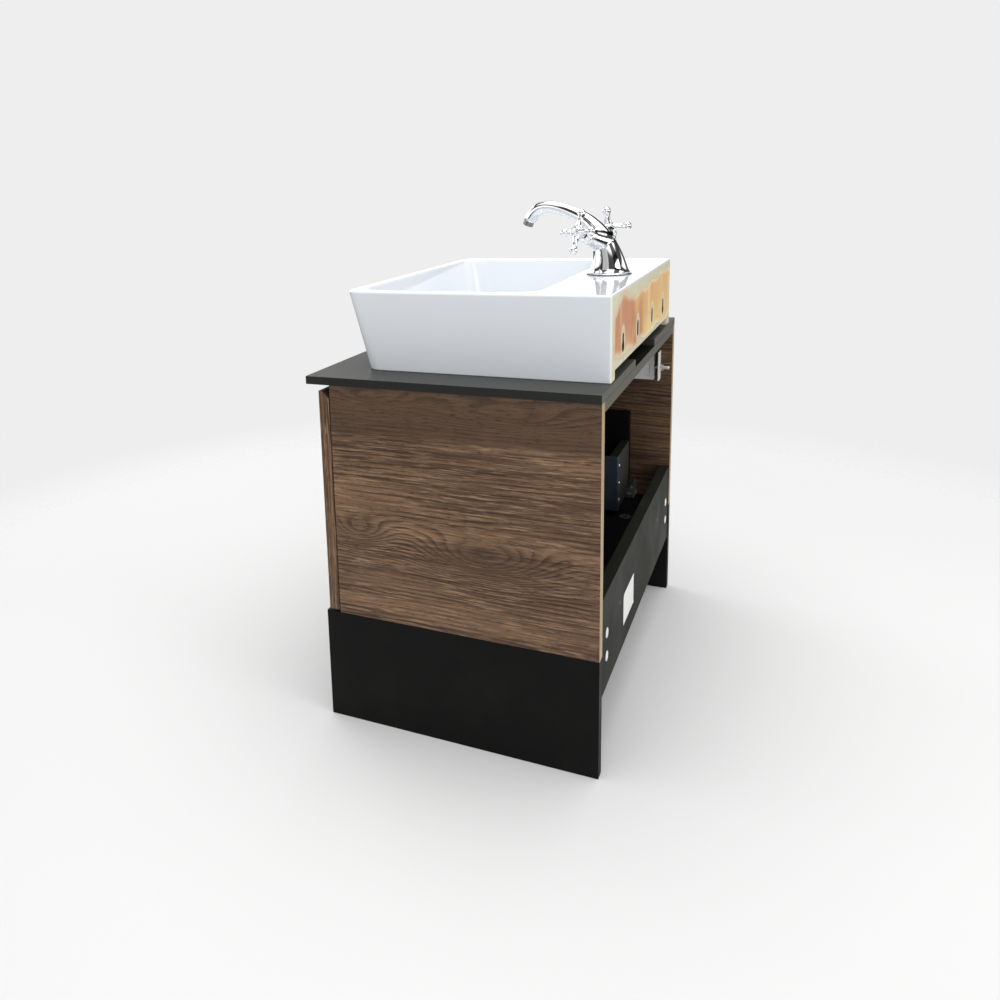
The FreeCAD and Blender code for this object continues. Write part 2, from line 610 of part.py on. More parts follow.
wall_half = "(basin_width / 2 - wall)"
hollow_rear = f"({basin_rear} - wall)"
deck_hollow = box((f"2 * {wall_half}", f"{hollow_rear} - {bowl_rear} - wall", "basin_height - deck_thick"),
                  (f"-{wall_half}", f"{bowl_rear} + wall", SLAB_TOP))
foot_hollow = box((f"2 * {wall_half}", "basin_depth - front_slant - 2 * wall",
                   "basin_height - bowl_depth - wall"),
                  (f"-{wall_half}", f"{basin_front} + front_slant + wall", SLAB_TOP))
arch = box(("2 * arch_half", "wall", "arch_height"), ("-arch_half", hollow_rear, SLAB_TOP))
slot_low = f"({SLAB_TOP} + slot_height)"
slots = []
for reach, lower in (("outer_slot", "keyhole_radius"), ("inner_slot", "slot_radius")):
    slots.append(rod(lower, "wall", (reach, basin_rear, slot_low), "-Y"))
    slots.append(box(("2 * slot_radius", "wall", "slot_run"), (f"{reach} - slot_radius", hollow_rear, slot_low)))
    slots.append(rod("slot_radius", "wall", (reach, basin_rear, f"{slot_low} + slot_run"), "-Y"))
waste_top = f"({RIM} - bowl_depth)"
openings = [deck_hollow, foot_hollow, arch,
            rod("waste_hole", "bowl_depth", waste_spot + (SLAB_TOP,)),
            rod("tap_hole", "2 * deck_thick", ("0", away("tap_back"), f"{RIM} - 1.5 * deck_thick"))]
keep("basin", cut(shell, openings + both(slots), "BasinShell"))

# ---------------------------------------------------------------- waste
# A flanged tube clamps the basin to the slab and ends in a smooth tail for
# the trap. A push plug slides in it.
shoulder = "(tail_length - waste_length)"
tube = turned([
    ("tail_bore", "-waste_length"), ("tail_radius", "-waste_length"), ("tail_radius", shoulder),
    ("waste_radius", shoulder), ("waste_radius", "0"), ("waste_flange", "0"), ("waste_flange", "1"),
    ("waste_flange - 2", "flange_thick"), ("waste_bore", "flange_thick"),
    ("waste_bore", f"{shoulder} + 4"), ("tail_bore", f"{shoulder} + 4")])
place(tube, waste_spot + (waste_top,))
spider_low = f"{waste_top} - 34"
waste_line = away("waste_back")
spider = [box(("2 * waste_bore + 1", "3", "8"), ("-waste_bore - 0.5", f"{waste_line} - 1.5", spider_low)),
          box(("3", "2 * waste_bore + 1", "8"), ("-1.5", f"{waste_line} - waste_bore - 0.5", spider_low)),
          rod("plug_stem + 2.5", "12", waste_spot + (spider_low,))]
stem_bore = rod("plug_stem + run_gap", "16", waste_spot + (f"{spider_low} - 1",))
keep("waste_body", cut(fuse([tube] + spider), [stem_bore], "WasteBody"))
under_slab = f"({CARCASS_TOP} - gasket_thick)"
keep("waste_gasket", cut(rod("waste_nut_radius", "gasket_thick", waste_spot + (under_slab,)),
                         [rod("waste_radius + fit_gap", "gasket_thick", waste_spot + (under_slab,))]))
nut_low = f"{under_slab} - waste_nut_thick"
keep("waste_nut", cut(hexagon("2 * waste_nut_radius - 6", "waste_nut_thick", waste_spot + (nut_low,)),
                      [rod("waste_radius + fit_gap", "waste_nut_thick", waste_spot + (nut_low,))]))
plug = turned([
    ("0", "-44"), ("plug_stem", "-44"), ("plug_stem", "0"), ("plug_radius - 4", "0"), ("plug_radius", "2"),
    ("plug_radius", "4"), ("plug_radius - 6", "6.5"), ("0", "8")])
place(plug, waste_spot + (f"{waste_top} + flange_thick + plug_rise",))
keep("waste_plug", plug)

# ---------------------------------------------------------------- mixer tap
# Its pieces are drawn in the tap's own frame: the origin is on the basin's
# deck, the spout points along -Y, and the whole tap is turned on its hole.


def on_deck(label, item):
    moved = group([item], "OnDeck")
    moved.Placement = Placement(Vector(), Rotation(Vector(0, 0, 1), 0))
    for name, text in zip("xyz", ("0", away("tap_back"), RIM)):
        moved.setExpression(f".Placement.Base.{name}", sized(text))
    moved.setExpression(".Placement.Rotation.Angle", sized("-tap_turn * 1 deg"))
    keep(label, moved)


def station(forward, height, radius, lean):
    """One round section of the cast body, leaning forward by an angle."""
    item = doc.addObject("Part::Circle", "Station")
    bind(item, Radius=radius)
    place(item, ("0", f"-({forward})", height))
    item.Placement.Rotation = Rotation(Vector(1, 0, 0), lean)
    return item


body = doc.addObject("Part::Loft", "CastBody")
body.Sections = [
    station("0", "base_height", "tap_base * 0.84", 0),
    station("spout_reach * 0.01", "spout_rise * 0.22", "tap_base * 0.72", 8),
    station("spout_reach * 0.07", "spout_rise * 0.47", "tap_base * 0.58", 24),
    station("spout_reach * 0.17", "spout_rise * 0.65", "tap_base * 0.44", 44),
    station("spout_reach * 0.34", "spout_rise * 0.81", "spout_radius * 1.18", 60),
    station("spout_reach * 0.55", "spout_rise * 0.93", "spout_radius * 1.03", 68),
    station("spout_reach * 0.73", "spout_rise", "spout_radius", 84),
    station("spout_reach * 0.86", "spout_rise * 0.985", "spout_radius", 112),
    station("spout_reach * 0.955", "spout_rise * 0.88", "spout_radius", 143),
    station("spout_reach", "spout_rise * 0.755", "spout_radius * 1.08", 156)]
body.Solid = True
base = turned([
    ("0", "tap_gasket"), ("tap_base", "tap_gasket"), ("tap_base", "3.5"), ("tap_base * 0.93", "5.5"),
    ("tap_base * 0.84", "base_height"), ("tap_base * 0.84", "base_height + 0.2"), ("0", "base_height + 0.2")])


def along_valve(item, start):
    """Turn an object drawn along Z to lie along the right valve's axis."""
    swing = Rotation(Vector(0, 0, 1), -SIZES["valve_swing"])
    lift = Rotation(Vector(0, 1, 0), 90 - SIZES["valve_lift"])
    holder = group([item], "Valve")
    turn = swing.multiply(lift)
    holder.Placement = Placement(Vector(), turn)
    reach = {"x": "cos(valve_lift * 1 deg) * cos(valve_swing * 1 deg)",
             "y": "-cos(valve_lift * 1 deg) * sin(valve_swing * 1 deg)",
             "z": "sin(valve_lift * 1 deg)"}
    root = {"x": "0", "y": "-valve_forward", "z": "valve_height"}
    for name in "xyz":
        holder.setExpression(f".Placement.Base.{name}", sized(f"{root[name]} + ({start}) * {reach[name]}"))
    return holder


horn = along_valve(cone("valve_radius + 3", "valve_radius - 1", "valve_seat", CENTRE), "0")
horn_bore = along_valve(rod("spindle_radius + 3", "valve_seat", CENTRE), "valve_seat * 0.45")
aerator_tilt = Rotation(Vector(1, 0, 0), 180 - SIZES["aerator_tilt"])


def at_spout_end(item, back):
    """Hang an object drawn along Z from the spout's mouth, pointing out of it."""
    holder = group([item], "SpoutEnd")
    holder.Placement = Placement(Vector(), aerator_tilt)
    out = {"y": "-sin(aerator_tilt * 1 deg)", "z": "-cos(aerator_tilt * 1 deg)"}
    root = {"y": "-spout_reach", "z": "spout_rise * 0.755"}
    for name in "yz":
        holder.setExpression(f".Placement.Base.{name}", sized(f"{root[name]} - ({back}) * ({out[name]})"))
    return holder


mouth_bore = at_spout_end(rod("aerator_radius + fit_gap / 2", "aerator_length", CENTRE),
                          "aerator_length - aerator_show")
inlet_bores = [rod("4.6", "14", (x, "-4", "0")) for x in ("9", "-9")]
stud_bore = rod("stud_radius + 1 + fit_gap / 2", "16", ("0", "stud_offset", "0"))
tap_bores = both([horn_bore]) + inlet_bores + [mouth_bore, stud_bore]
on_deck("tap_body", cut(fuse([base, body] + both([horn])), tap_bores, "TapBody"))
on_deck("tap_gasket", cut(rod("tap_base - 1", "tap_gasket", CENTRE),
                          [rod("tap_hole - 1.5", "tap_gasket", CENTRE)]))
on_deck("tap_stud", rod("stud_radius + 1", "46 + deck_thick", ("0", "stud_offset", "-46")))
washer_top = "-deck_thick"
on_deck("tap_washer", cut(rod("tap_hole + 7", "3", ("0", "0", f"{washer_top} - 3")), [
    rod("stud_radius + 1 + fit_gap", "3", ("0", "stud_offset", f"{washer_top} - 3")),
    box(("28", "30", "3"), ("-14", "-29", f"{washer_top} - 3"))]))
on_deck("tap_nut", cut(hexagon("15", "8", ("0", "stud_offset", f"{washer_top} - 11")),
                       [rod("stud_radius + 1 + fit_gap", "8", ("0", "stud_offset", f"{washer_top} - 11"))]))
aerator = turned([
    ("0", "3"), ("aerator_radius - 2.5", "3"), ("aerator_radius - 2.5", "aerator_length"),
    ("aerator_radius", "aerator_length"), ("aerator_radius", "0"), ("0", "0")])
on_deck("aerator", at_spout_end(aerator, "aerator_length - aerator_show"))

stem_hole = "spindle_radius + run_gap"
bonnet = turned([
    (stem_hole, "-valve_seat * 0.5"), ("spindle_radius + 2.8", "-valve_seat * 0.5"),
    ("spindle_radius + 2.8", "0"),
    ("valve_radius", "0"), ("valve_radius + 0.6", "2"), ("valve_radius", "4"), ("valve_radius - 4", "8"),
    ("spindle_radius + 2.5", "9.5"), (stem_hole, "9.5")])
spindle = rod("spindle_radius", "hub_start - valve_seat * 0.5 + 8", CENTRE)
hub = turned([
    ("0", "0"), ("7", "0"), ("8.5", "3"), ("8.5", "7"), ("10", "9"), ("10", "hub_length - 3"),
    ("8.6", "hub_length"), ("0", "hub_length")])
arms = []
for index in range(4):
    spoke = fuse([cone("arm_radius + 1.4", "arm_radius - 0.4", "arm_length", CENTRE, "X"),
                  ball("ball_radius", ("arm_length", "0", "0"))], "Spoke")
    turned_arm = group([spoke], "Arm")
    turned_arm.Placement = Placement(Vector(), Rotation(Vector(0, 0, 1), 90 * index + 5))
    turned_arm.setExpression(".Placement.Base.z", sized("hub_length * 0.66"))
    arms.append(turned_arm)
handle = cut(fuse([hub] + arms, "Cross"), [rod("spindle_radius + fit_gap", "8.2", CENTRE)], "Handle")
button = turned([("0", "0"), ("8", "0"), ("8", "1.2"), ("6", "2.6"), ("0", "3.2")])
valve_parts = [("bonnet", bonnet, "valve_seat"), ("spindle", spindle, "valve_seat * 0.5"),
               ("handle", handle, "hub_start"), ("handle_cap", button, "hub_start + hub_length")]
for label, item, start in valve_parts:
    right = along_valve(item, start)
    on_deck(f"{label}_right", right)
    on_deck(f"{label}_left", mirrored(right))

# ---------------------------------------------------------------- checks and files
doc.recompute()
for item in doc.Objects:
    if "Invalid" in item.State or "Error" in item.State:
        raise RuntimeError(f"{item.Label} did not build: {item.State}")
os.makedirs("parts", exist_ok=True)
for label, item in pieces.items():
    shape = item.Shape
    if shape.isNull() or not shape.isValid() or not shape.Solids:
        raise RuntimeError(f"{label} is not a valid solid")
    shape.exportStep(f"parts/{label}.step")
print(len(pieces), "sub-parts written")
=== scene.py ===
# %% [markdown]
# # A washstand, dressed for the studio
#
# The washstand comes as a imported frame: every board, fitting and tap part is
# already a solid at its real size and place. This lesson gives each visible
# piece the shape and the finish that the real one has: eased board edges,
# cast chrome, glazed clay, walnut figure. It starts by loading the frame and
# by keeping its outer box, so that the looks keep the size.

# %% Load the frame
import json
import math

import bpy
from mathutils import Matrix, Vector

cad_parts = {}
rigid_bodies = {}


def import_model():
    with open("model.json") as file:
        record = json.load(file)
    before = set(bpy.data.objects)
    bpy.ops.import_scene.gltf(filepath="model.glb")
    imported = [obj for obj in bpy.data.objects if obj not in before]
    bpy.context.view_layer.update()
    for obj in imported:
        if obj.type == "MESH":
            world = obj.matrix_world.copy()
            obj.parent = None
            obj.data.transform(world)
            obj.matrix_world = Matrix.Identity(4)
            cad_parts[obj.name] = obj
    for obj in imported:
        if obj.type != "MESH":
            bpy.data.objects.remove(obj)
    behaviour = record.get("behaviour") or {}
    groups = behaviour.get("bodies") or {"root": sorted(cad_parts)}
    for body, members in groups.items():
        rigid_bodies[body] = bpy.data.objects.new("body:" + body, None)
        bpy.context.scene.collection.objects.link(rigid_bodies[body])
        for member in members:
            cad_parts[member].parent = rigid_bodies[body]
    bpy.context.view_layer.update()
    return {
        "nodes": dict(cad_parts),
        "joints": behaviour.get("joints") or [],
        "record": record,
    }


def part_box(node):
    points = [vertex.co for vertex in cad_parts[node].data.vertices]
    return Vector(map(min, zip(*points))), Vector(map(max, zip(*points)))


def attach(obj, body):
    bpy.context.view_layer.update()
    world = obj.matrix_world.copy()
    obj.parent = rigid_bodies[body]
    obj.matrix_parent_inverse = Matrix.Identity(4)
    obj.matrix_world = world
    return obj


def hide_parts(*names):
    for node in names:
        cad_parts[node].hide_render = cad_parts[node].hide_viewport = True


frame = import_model()
MM = 0.001

# %% [markdown]
# ## The camera
#
# The viewer stands behind the washstand, on its right, and looks down a
# little. The object is framed off the middle of the picture, which a lens
# shift gives without turning the camera, so upright boards keep their lean.

# %% Set up the camera
scene = bpy.context.scene
EYE = Vector((1.5339, 0.4772, 0.8826))
HEADING, TILT, ROLL = (math.radians(angle) for angle in (116.73, 78.52, -2.465))

bpy.ops.object.camera_add()
camera = bpy.context.object
camera.name = "studio_camera"
camera.matrix_world = (
    Matrix.Translation(EYE)
    @ Matrix.Rotation(HEADING, 4, "Z")
    @ Matrix.Rotation(TILT, 4, "X")
    @ Matrix.Rotation(ROLL, 4, "Z")
)
camera.data.lens = 31.94
camera.data.shift_x = 0.1309
camera.data.shift_y = -0.1362
camera.data.dof.use_dof = False
scene.camera = camera
print("camera at", tuple(round(value, 3) for value in EYE))

# %% [markdown]
# ## The studio
#
# A pale grey surround lights everything softly, and the camera sees it as
# one plain tone. What polished metal mirrors is richer: a bright ceiling,
# four tall soft boxes round about and a dim band above eye level, so that
# chrome shows dark and light edges. The floor fades out with distance, which
# leaves no horizon.

# %% Set up the surround and the floor
STUDIO_GREY, SOFT_LIGHT, PAPER = 0.855, 0.66, 0.81
SOFT_BOXES = 4
scene.view_settings.view_transform = "Standard"


def join_nodes(tree, kind, inputs=None, **settings):
    """Add a shader node, with its settings and its inputs given by name."""
    made = tree.nodes.new(kind)
    for name, value in settings.items():
        setattr(made, name, value)
    for name, value in (inputs or {}).items():
        if isinstance(value, bpy.types.NodeSocket):
            tree.links.new(value, made.inputs[name])
        else:
            made.inputs[name].default_value = value
    return made


def tree_of(*values):
    """The node tree that the first socket among some values belongs to."""
    return next(value.id_data for value in values if isinstance(value, bpy.types.NodeSocket))


def axes_of(place):
    """The X, Y and Z of a place, as sockets by name."""
    return join_nodes(place.id_data, "ShaderNodeSeparateXYZ", {"Vector": place}).outputs


def calculate(operation, first, second=0.0, third=0.0):
    """Add a Math node and return its result."""
    return join_nodes(tree_of(first, second, third), "ShaderNodeMath",
                      {0: first, 1: second, 2: third}, operation=operation).outputs[0]


def plus(first, second):
    return calculate("ADD", first, second)


def minus(first, second):
    return calculate("SUBTRACT", first, second)


def times(first, second):
    return calculate("MULTIPLY", first, second)


def fade(value, low, high, start=0.0, end=1.0):
    """Turn a value between low and high smoothly into one between start and end."""
    return join_nodes(tree_of(value), "ShaderNodeMapRange", {
        "Value": value, "From Min": low, "From Max": high, "To Min": start, "To Max": end,
    }, interpolation_type="SMOOTHSTEP").outputs[0]


def blend(share, first, second):
    """Mix two colours, or two sockets of colour, by a share."""
    tree = tree_of(share, first, second)
    mix = join_nodes(tree, "ShaderNodeMix", {"Factor": share}, data_type="RGBA")
    # On a Mix node the colours are inputs 6 and 7 and output 2
    for socket, value in zip((mix.inputs[6], mix.inputs[7]), (first, second)):
        if isinstance(value, bpy.types.NodeSocket):
            tree.links.new(value, socket)
        else:
            socket.default_value = (*value, 1)
    return mix.outputs[2]


def light_surround():
    """Give the camera, soft light and mirrors each their own surround."""
    world = scene.world or bpy.data.worlds.new("studio")
    scene.world = world
    world.use_nodes = True
    tree = world.node_tree
    tree.nodes.clear()
    axes = axes_of(join_nodes(tree, "ShaderNodeTexCoord").outputs["Generated"])
    ceiling = fade(axes["Z"], -0.45, 0.15, 0.10, 1.30)
    around = calculate("ARCTAN2", axes["Y"], axes["X"])
    boxes = fade(calculate("SINE", times(around, SOFT_BOXES)), -0.45, 0.0, 0.10, 1.15)
    off_band = calculate("ABSOLUTE", minus(axes["Z"], 0.46))
    band = fade(off_band, 0.09, 0.17, 0.05, 1.0)
    level = times(times(ceiling, boxes), band)
    path = join_nodes(tree, "ShaderNodeLightPath").outputs
    for ray, tone in (("Is Diffuse Ray", SOFT_LIGHT), ("Is Camera Ray", STUDIO_GREY)):
        level = join_nodes(tree, "ShaderNodeMix", {"Factor": path[ray], "A": level, "B": tone},
                           data_type="FLOAT").outputs[0]
    ground = join_nodes(tree, "ShaderNodeBackground", {"Color": (1, 1, 1, 1), "Strength": level})
    join_nodes(tree, "ShaderNodeOutputWorld", {"Surface": ground.outputs[0]})
    print("surround: soft light", SOFT_LIGHT, "seen as", STUDIO_GREY)


light_surround()

bpy.ops.object.select_all(action="DESELECT")
bpy.ops.mesh.primitive_circle_add(vertices=96, radius=4, fill_type="NGON",
                                  location=(0, 0, -0.5 * MM))
studio_floor = bpy.context.object
studio_floor.name = "studio_floor"
floor_finish = bpy.data.materials.new("floor_paper")
floor_finish.use_nodes = True
floor_tree = floor_finish.node_tree
floor_tree.nodes.clear()
floor_place = join_nodes(floor_tree, "ShaderNodeTexCoord").outputs["Object"]
distance = join_nodes(floor_tree, "ShaderNodeVectorMath", {0: floor_place},
                      operation="LENGTH").outputs["Value"]
paper = join_nodes(floor_tree, "ShaderNodeBsdfDiffuse", {"Color": (PAPER, PAPER, PAPER, 1)})
clear = join_nodes(floor_tree, "ShaderNodeBsdfTransparent")
faded = join_nodes(floor_tree, "ShaderNodeMixShader", {
    0: fade(distance, 0.75, 1.9), 1: paper.outputs[0], 2: clear.outputs[0]})
join_nodes(floor_tree, "ShaderNodeOutputMaterial", {"Surface": faded.outputs[0]})
studio_floor.data.materials.append(floor_finish)

# %% [markdown]
# ## The lamps
#
# Four large soft lamps shape the object: one overhead that brings up the
# basin's rim, one behind the viewer for the walnut side, one that fills the
# open back and one for the front. Each is wide, so no shadow has a hard edge.

# %% Place the lamps
# Each lamp: its place, its width in metres and its power in watts
LAMPS = {
    "overhead": ((0.1, 0.1, 2.3), 1.8, 23),
    "viewer_side": ((2.2, -0.3, 1.5), 1.6, 4.5),
    "open_back": ((0.7, 2.2, 1.2), 1.3, 12),
    "front_side": ((-1.0, -2.2, 1.5), 1.5, 12),
}
AIM = Vector((0, 0, 0.5))
for lamp_name, (lamp_place, lamp_size, lamp_power) in LAMPS.items():
    bpy.ops.object.light_add(type="AREA", location=lamp_place)
    lamp = bpy.context.object
    lamp.name = f"lamp_{lamp_name}"
    lamp.data.size = lamp_size
    lamp.data.energy = lamp_power
    lamp.rotation_euler = (AIM - lamp.location).to_track_quat("-Z", "Y").to_euler()
print("lamps:", ", ".join(LAMPS))

# %% [markdown]
# ## Starting a finish
#
# Every finish here is grown from noise at the piece's own coordinates, in
# metres, so its grain has the real scale and stays put when a piece moves.
# Each one starts from a Principled shader and those coordinates. The helpers
# stretch them, draw noise from them, and press a pattern in as fine relief.


# %% Helpers for finishes
def start_finish(name, color=(0.8, 0.8, 0.8), **levels):
    """Make a material, and give it back with its shader and its coordinates.

    The colour and the levels are plain values, which a pattern may take over.
    """
    finish = bpy.data.materials.new(name)
    finish.use_nodes = True
    tree = finish.node_tree
    shader = tree.nodes["Principled BSDF"]
    shader.inputs["Base Color"].default_value = (*color, 1)
    for level, value in levels.items():
        shader.inputs[level.replace("_", " ").title().replace("Ior", "IOR")].default_value = value
    place = join_nodes(tree, "ShaderNodeTexCoord").outputs["Object"]
    return finish, shader, place


def stretched(place, scale, shift=(0, 0, 0)):
    return join_nodes(place.id_data, "ShaderNodeMapping", {
        "Vector": place, "Scale": scale, "Location": shift}).outputs["Vector"]


def noise(place, scale=1.0, detail=2.0, rough=0.5, bend=0.0):
    return join_nodes(place.id_data, "ShaderNodeTexNoise", {
        "Vector": place, "Scale": scale, "Detail": detail,
        "Roughness": rough, "Distortion": bend}).outputs["Fac"]


def drive(shader, name, value):
    shader.id_data.links.new(value, shader.inputs[name])


def emboss(shader, height, depth):
    """Press a height pattern into the surface, to a depth in metres."""
    bump = join_nodes(shader.id_data, "ShaderNodeBump",
                      {"Height": height, "Distance": depth, "Strength": 1.0})
    drive(shader, "Normal", bump.outputs["Normal"])


# %% [markdown]
# ## Walnut laminate
#
# The cabinet is board with a printed walnut laminate. The growth lines of a
# sawn board are the contours of a slow slope. Where the slope is even they
# run straight along the board. Where the trunk bulged, a bump in the slope
# turns them into ovals, the eyes. So the figure is a slope with a few bumps
# at listed places, wavered by stretched noise and cut into even steps. Quick
# stretched noise then adds streaks, pale fibres and dark pores.

# %% Walnut
WALNUT_LIGHT = (0.275, 0.162, 0.090)
WALNUT_MIDDLE = (0.150, 0.086, 0.049)
WALNUT_DARK = (0.036, 0.020, 0.013)
WALNUT_FLECK = (0.400, 0.255, 0.155)
WALNUT_DIM = (0.074, 0.044, 0.028)
WALNUT_PORE = (0.022, 0.013, 0.009)
# The colour that a painted shade darkens the walnut towards, for faces that lie in shade
WALNUT_SHADE = (0.030, 0.018, 0.010)


def walnut(name, grain, height, shift, eyes=(), dark_above=9.0, spacing=0.0075, shade=0.0):
    """Walnut laminate whose lines run along one axis and lie across another.

    Each eye is its place along the grain and across it, its two reaches and
    its strength, all in metres. The figure is dim in the eyes, the colour is
    dim above a height, and a painted shade, for a face that lies in shade,
    darkens the whole.
    """
    finish, shader, place = start_finish(name, roughness=0.46, specular_ior_level=0.22)
    axes = axes_of(place)
    along, across = axes[grain], axes[height]

    def squeezed(slow, fast):
        return stretched(place, [slow if axis == grain else fast for axis in "XYZ"], shift)

    def wave(slow, fast, size):
        return times(minus(noise(squeezed(slow, fast), rough=0.55), 0.5), size)

    slope = plus(across, wave(1.2, 4.0, 0.050))
    slope = plus(slope, wave(5.0, 22.0, 0.009))
    slope = plus(slope, wave(14.0, 170.0, 0.0022))
    dim = fade(across, dark_above - 0.008, dark_above + 0.006)
    for eye_along, eye_across, reach_along, reach_across, strength in eyes:
        first = calculate("DIVIDE", minus(along, eye_along), reach_along)
        second = calculate("DIVIDE", minus(across, eye_across), reach_across)
        off = plus(times(first, first), times(second, second))
        bump = calculate("EXPONENT", times(off, -1.0))
        slope = calculate("MULTIPLY_ADD", bump, strength, slope)
        dim = calculate("MAXIMUM", dim, times(fade(bump, 0.20, 0.70), 0.7))
    rings = calculate("FRACT", calculate("DIVIDE", slope, spacing))
    late = times(fade(rings, 0.25, 0.90), fade(rings, 1.0, 0.92))

    band = noise(squeezed(1.2, 16.0))
    force = noise(squeezed(2.5, 12.0), 1.7)
    streak = noise(squeezed(3.2, 210.0), rough=0.60)
    fibre = noise(squeezed(20.0, 460.0), rough=0.65)
    pores = fade(noise(squeezed(70.0, 700.0)), 0.58, 0.68)
    clear = calculate("MULTIPLY_ADD", dim, -0.85, 1.0)
    half_clear = calculate("MULTIPLY_ADD", dim, -0.35, 1.0)

    body = blend(fade(band, 0.34, 0.66), WALNUT_MIDDLE, WALNUT_LIGHT)
    body = blend(times(dim, 0.75), body, WALNUT_DIM)
    body = blend(times(fade(streak, 0.44, 0.66, 0.0, 0.68), clear), body, WALNUT_DARK)
    strong = times(fade(force, 0.35, 0.60, 0.25, 0.85), half_clear)
    body = blend(times(late, strong), body, WALNUT_DARK)
    body = blend(times(fade(fibre, 0.50, 0.72, 0.0, 0.66), clear), body, WALNUT_FLECK)
    body = blend(times(pores, 0.60), body, WALNUT_PORE)
    # A painted shade darkens the whole, for faces that lie in shade
    drive(shader, "Base Color", blend(shade, body, WALNUT_SHADE))
    drive(shader, "Roughness", fade(fibre, 0.3, 0.7, 0.40, 0.54))
    emboss(shader, minus(fibre, pores), 0.00012)
    return finish


SIDE_EYES = [(-0.150, 0.338, 0.052, 0.026, 0.040), (0.060, 0.318, 0.105, 0.036, 0.066),
             (0.090, 0.545, 0.110, 0.020, 0.030), (-0.120, 0.560, 0.060, 0.015, 0.022)]
FRONT_EYES = [(-0.180, 0.360, 0.110, 0.030, 0.046), (0.150, 0.300, 0.070, 0.026, 0.040),
              (0.060, 0.500, 0.130, 0.028, 0.044)]
FINISH = {
    "walnut_side": walnut("walnut_side", "Y", "Z", (1.30, 0.40, 2.10), SIDE_EYES, 0.500),
    # The side panels' inner faces lie in shade inside the cabinet, so their walnut is darkened by
    # painted shade
    "walnut_shaded_inner": walnut("walnut_shaded_inner", "Y", "Z", (0.70, 1.90, 0.35), shade=0.40),
    "walnut_front": walnut("walnut_front", "X", "Z", (0.20, 3.10, 0.70), FRONT_EYES, 0.520),
    "walnut_strip": walnut("walnut_strip", "Z", "Y", (0.40, 0.90, 1.60), spacing=0.006),
}
print("walnut finishes:", ", ".join(FINISH))

# %% [markdown]
# ## Bare edges, black board and the dark slab
#
# The back edges of the boards are where the factory saved its effort: the
# walnut sides show a pale band there. The faces of the slab and its top rail
# that look at the wall are painted a lighter grey, which is painted light from
# the open back. The black board has the faint relief of pressed pores, and
# the slab is as fine as slate. Both gather a little dust. The rear bottom rail
# and the drawer backs are painted a lighter black, which is dust and painted
# light from the open back.


# %% Board and slab finishes
def pale_edge():
    """A bare board edge: fine layers with lighter patches."""
    finish, shader, place = start_finish("pale_edge", roughness=0.55)
    lines = noise(stretched(place, (900, 900, 10)))
    patch = noise(stretched(place, (20, 20, 9)), detail=3.0)
    tone = blend(fade(lines, 0.35, 0.7), (0.450, 0.350, 0.205), (0.340, 0.245, 0.130))
    drive(shader, "Base Color", blend(fade(patch, 0.5, 0.75, 0.0, 0.4), tone, (0.52, 0.42, 0.26)))
    emboss(shader, lines, 0.00008)
    return finish


def black_board(name, color, dust, shine):
    """Black melamine: pressed pores, and dust in slow patches."""
    finish, shader, place = start_finish(name, color, roughness=0.5, specular_ior_level=shine)
    grain = noise(stretched(place, (60, 45, 420)), detail=3.0)
    cloud = noise(place, 7.0, 5.0, 0.62)
    dusty = fade(cloud, 0.42, 0.78, 0.0, dust)
    drive(shader, "Base Color", blend(dusty, color, (0.16, 0.155, 0.14)))
    drive(shader, "Roughness", fade(cloud, 0.3, 0.75, 0.42, 0.62))
    emboss(shader, grain, 0.00010)
    return finish


def compact_slab(name, color, fleck):
    """Compact laminate: a fine mineral speckle and a satin skin."""
    finish, shader, place = start_finish(name, color, roughness=0.5, specular_ior_level=0.25)
    speckle = noise(place, 900.0, 3.0, 0.7)
    cloud = noise(place, 5.0, 4.0)
    tone = blend(fade(speckle, 0.45, 0.75, 0.0, 0.5), color, fleck)
    drive(shader, "Base Color", blend(fade(cloud, 0.4, 0.8, 0, 0.12), tone, (0.2, 0.195, 0.18)))
    drive(shader, "Roughness", fade(speckle, 0.3, 0.7, 0.40, 0.56))
    emboss(shader, noise(place, 1600.0), 0.00006)
    return finish


FINISH["pale_edge"] = pale_edge()
FINISH["black_board"] = black_board("black_board", (0.0030, 0.0030, 0.0028), 0.03, 0.11)
# A black lightened partly by dust and partly as painted light, for boards that face the open back
FINISH["dusty_backlit_board"] = black_board("dusty_backlit_board", (0.018, 0.018, 0.014), 0.10, 0.03)
# The faces towards the open back: a lighter black that is painted light from the open back, with
# dust patches
FINISH["dusty_backlit_face"] = black_board("dusty_backlit_face", (0.048, 0.047, 0.040), 0.12, 0.03)
FINISH["slab"] = compact_slab("slab_skin", (0.036, 0.036, 0.034), (0.075, 0.075, 0.070))
FINISH["slab_core"] = compact_slab("slab_black_core", (0.016, 0.016, 0.015),
                                   (0.030, 0.030, 0.028))
# Faces that look at the wall: a lighter grey that is painted light from the open back
FINISH["backlit_slab"] = compact_slab("slab_backlit_edge", (0.118, 0.115, 0.096),
                                   (0.20, 0.19, 0.165))

# %% [markdown]
# ## Glaze and bare clay
#
# The basin is white sanitary glaze: nearly smooth, with the slow waviness of
# a surface that once flowed. Its back face goes against the wall, so it was
# only brushed. The clay shows through there in orange and cream runs, with
# a rim of thin yellowish glaze, and glaze again around each fixing hole.

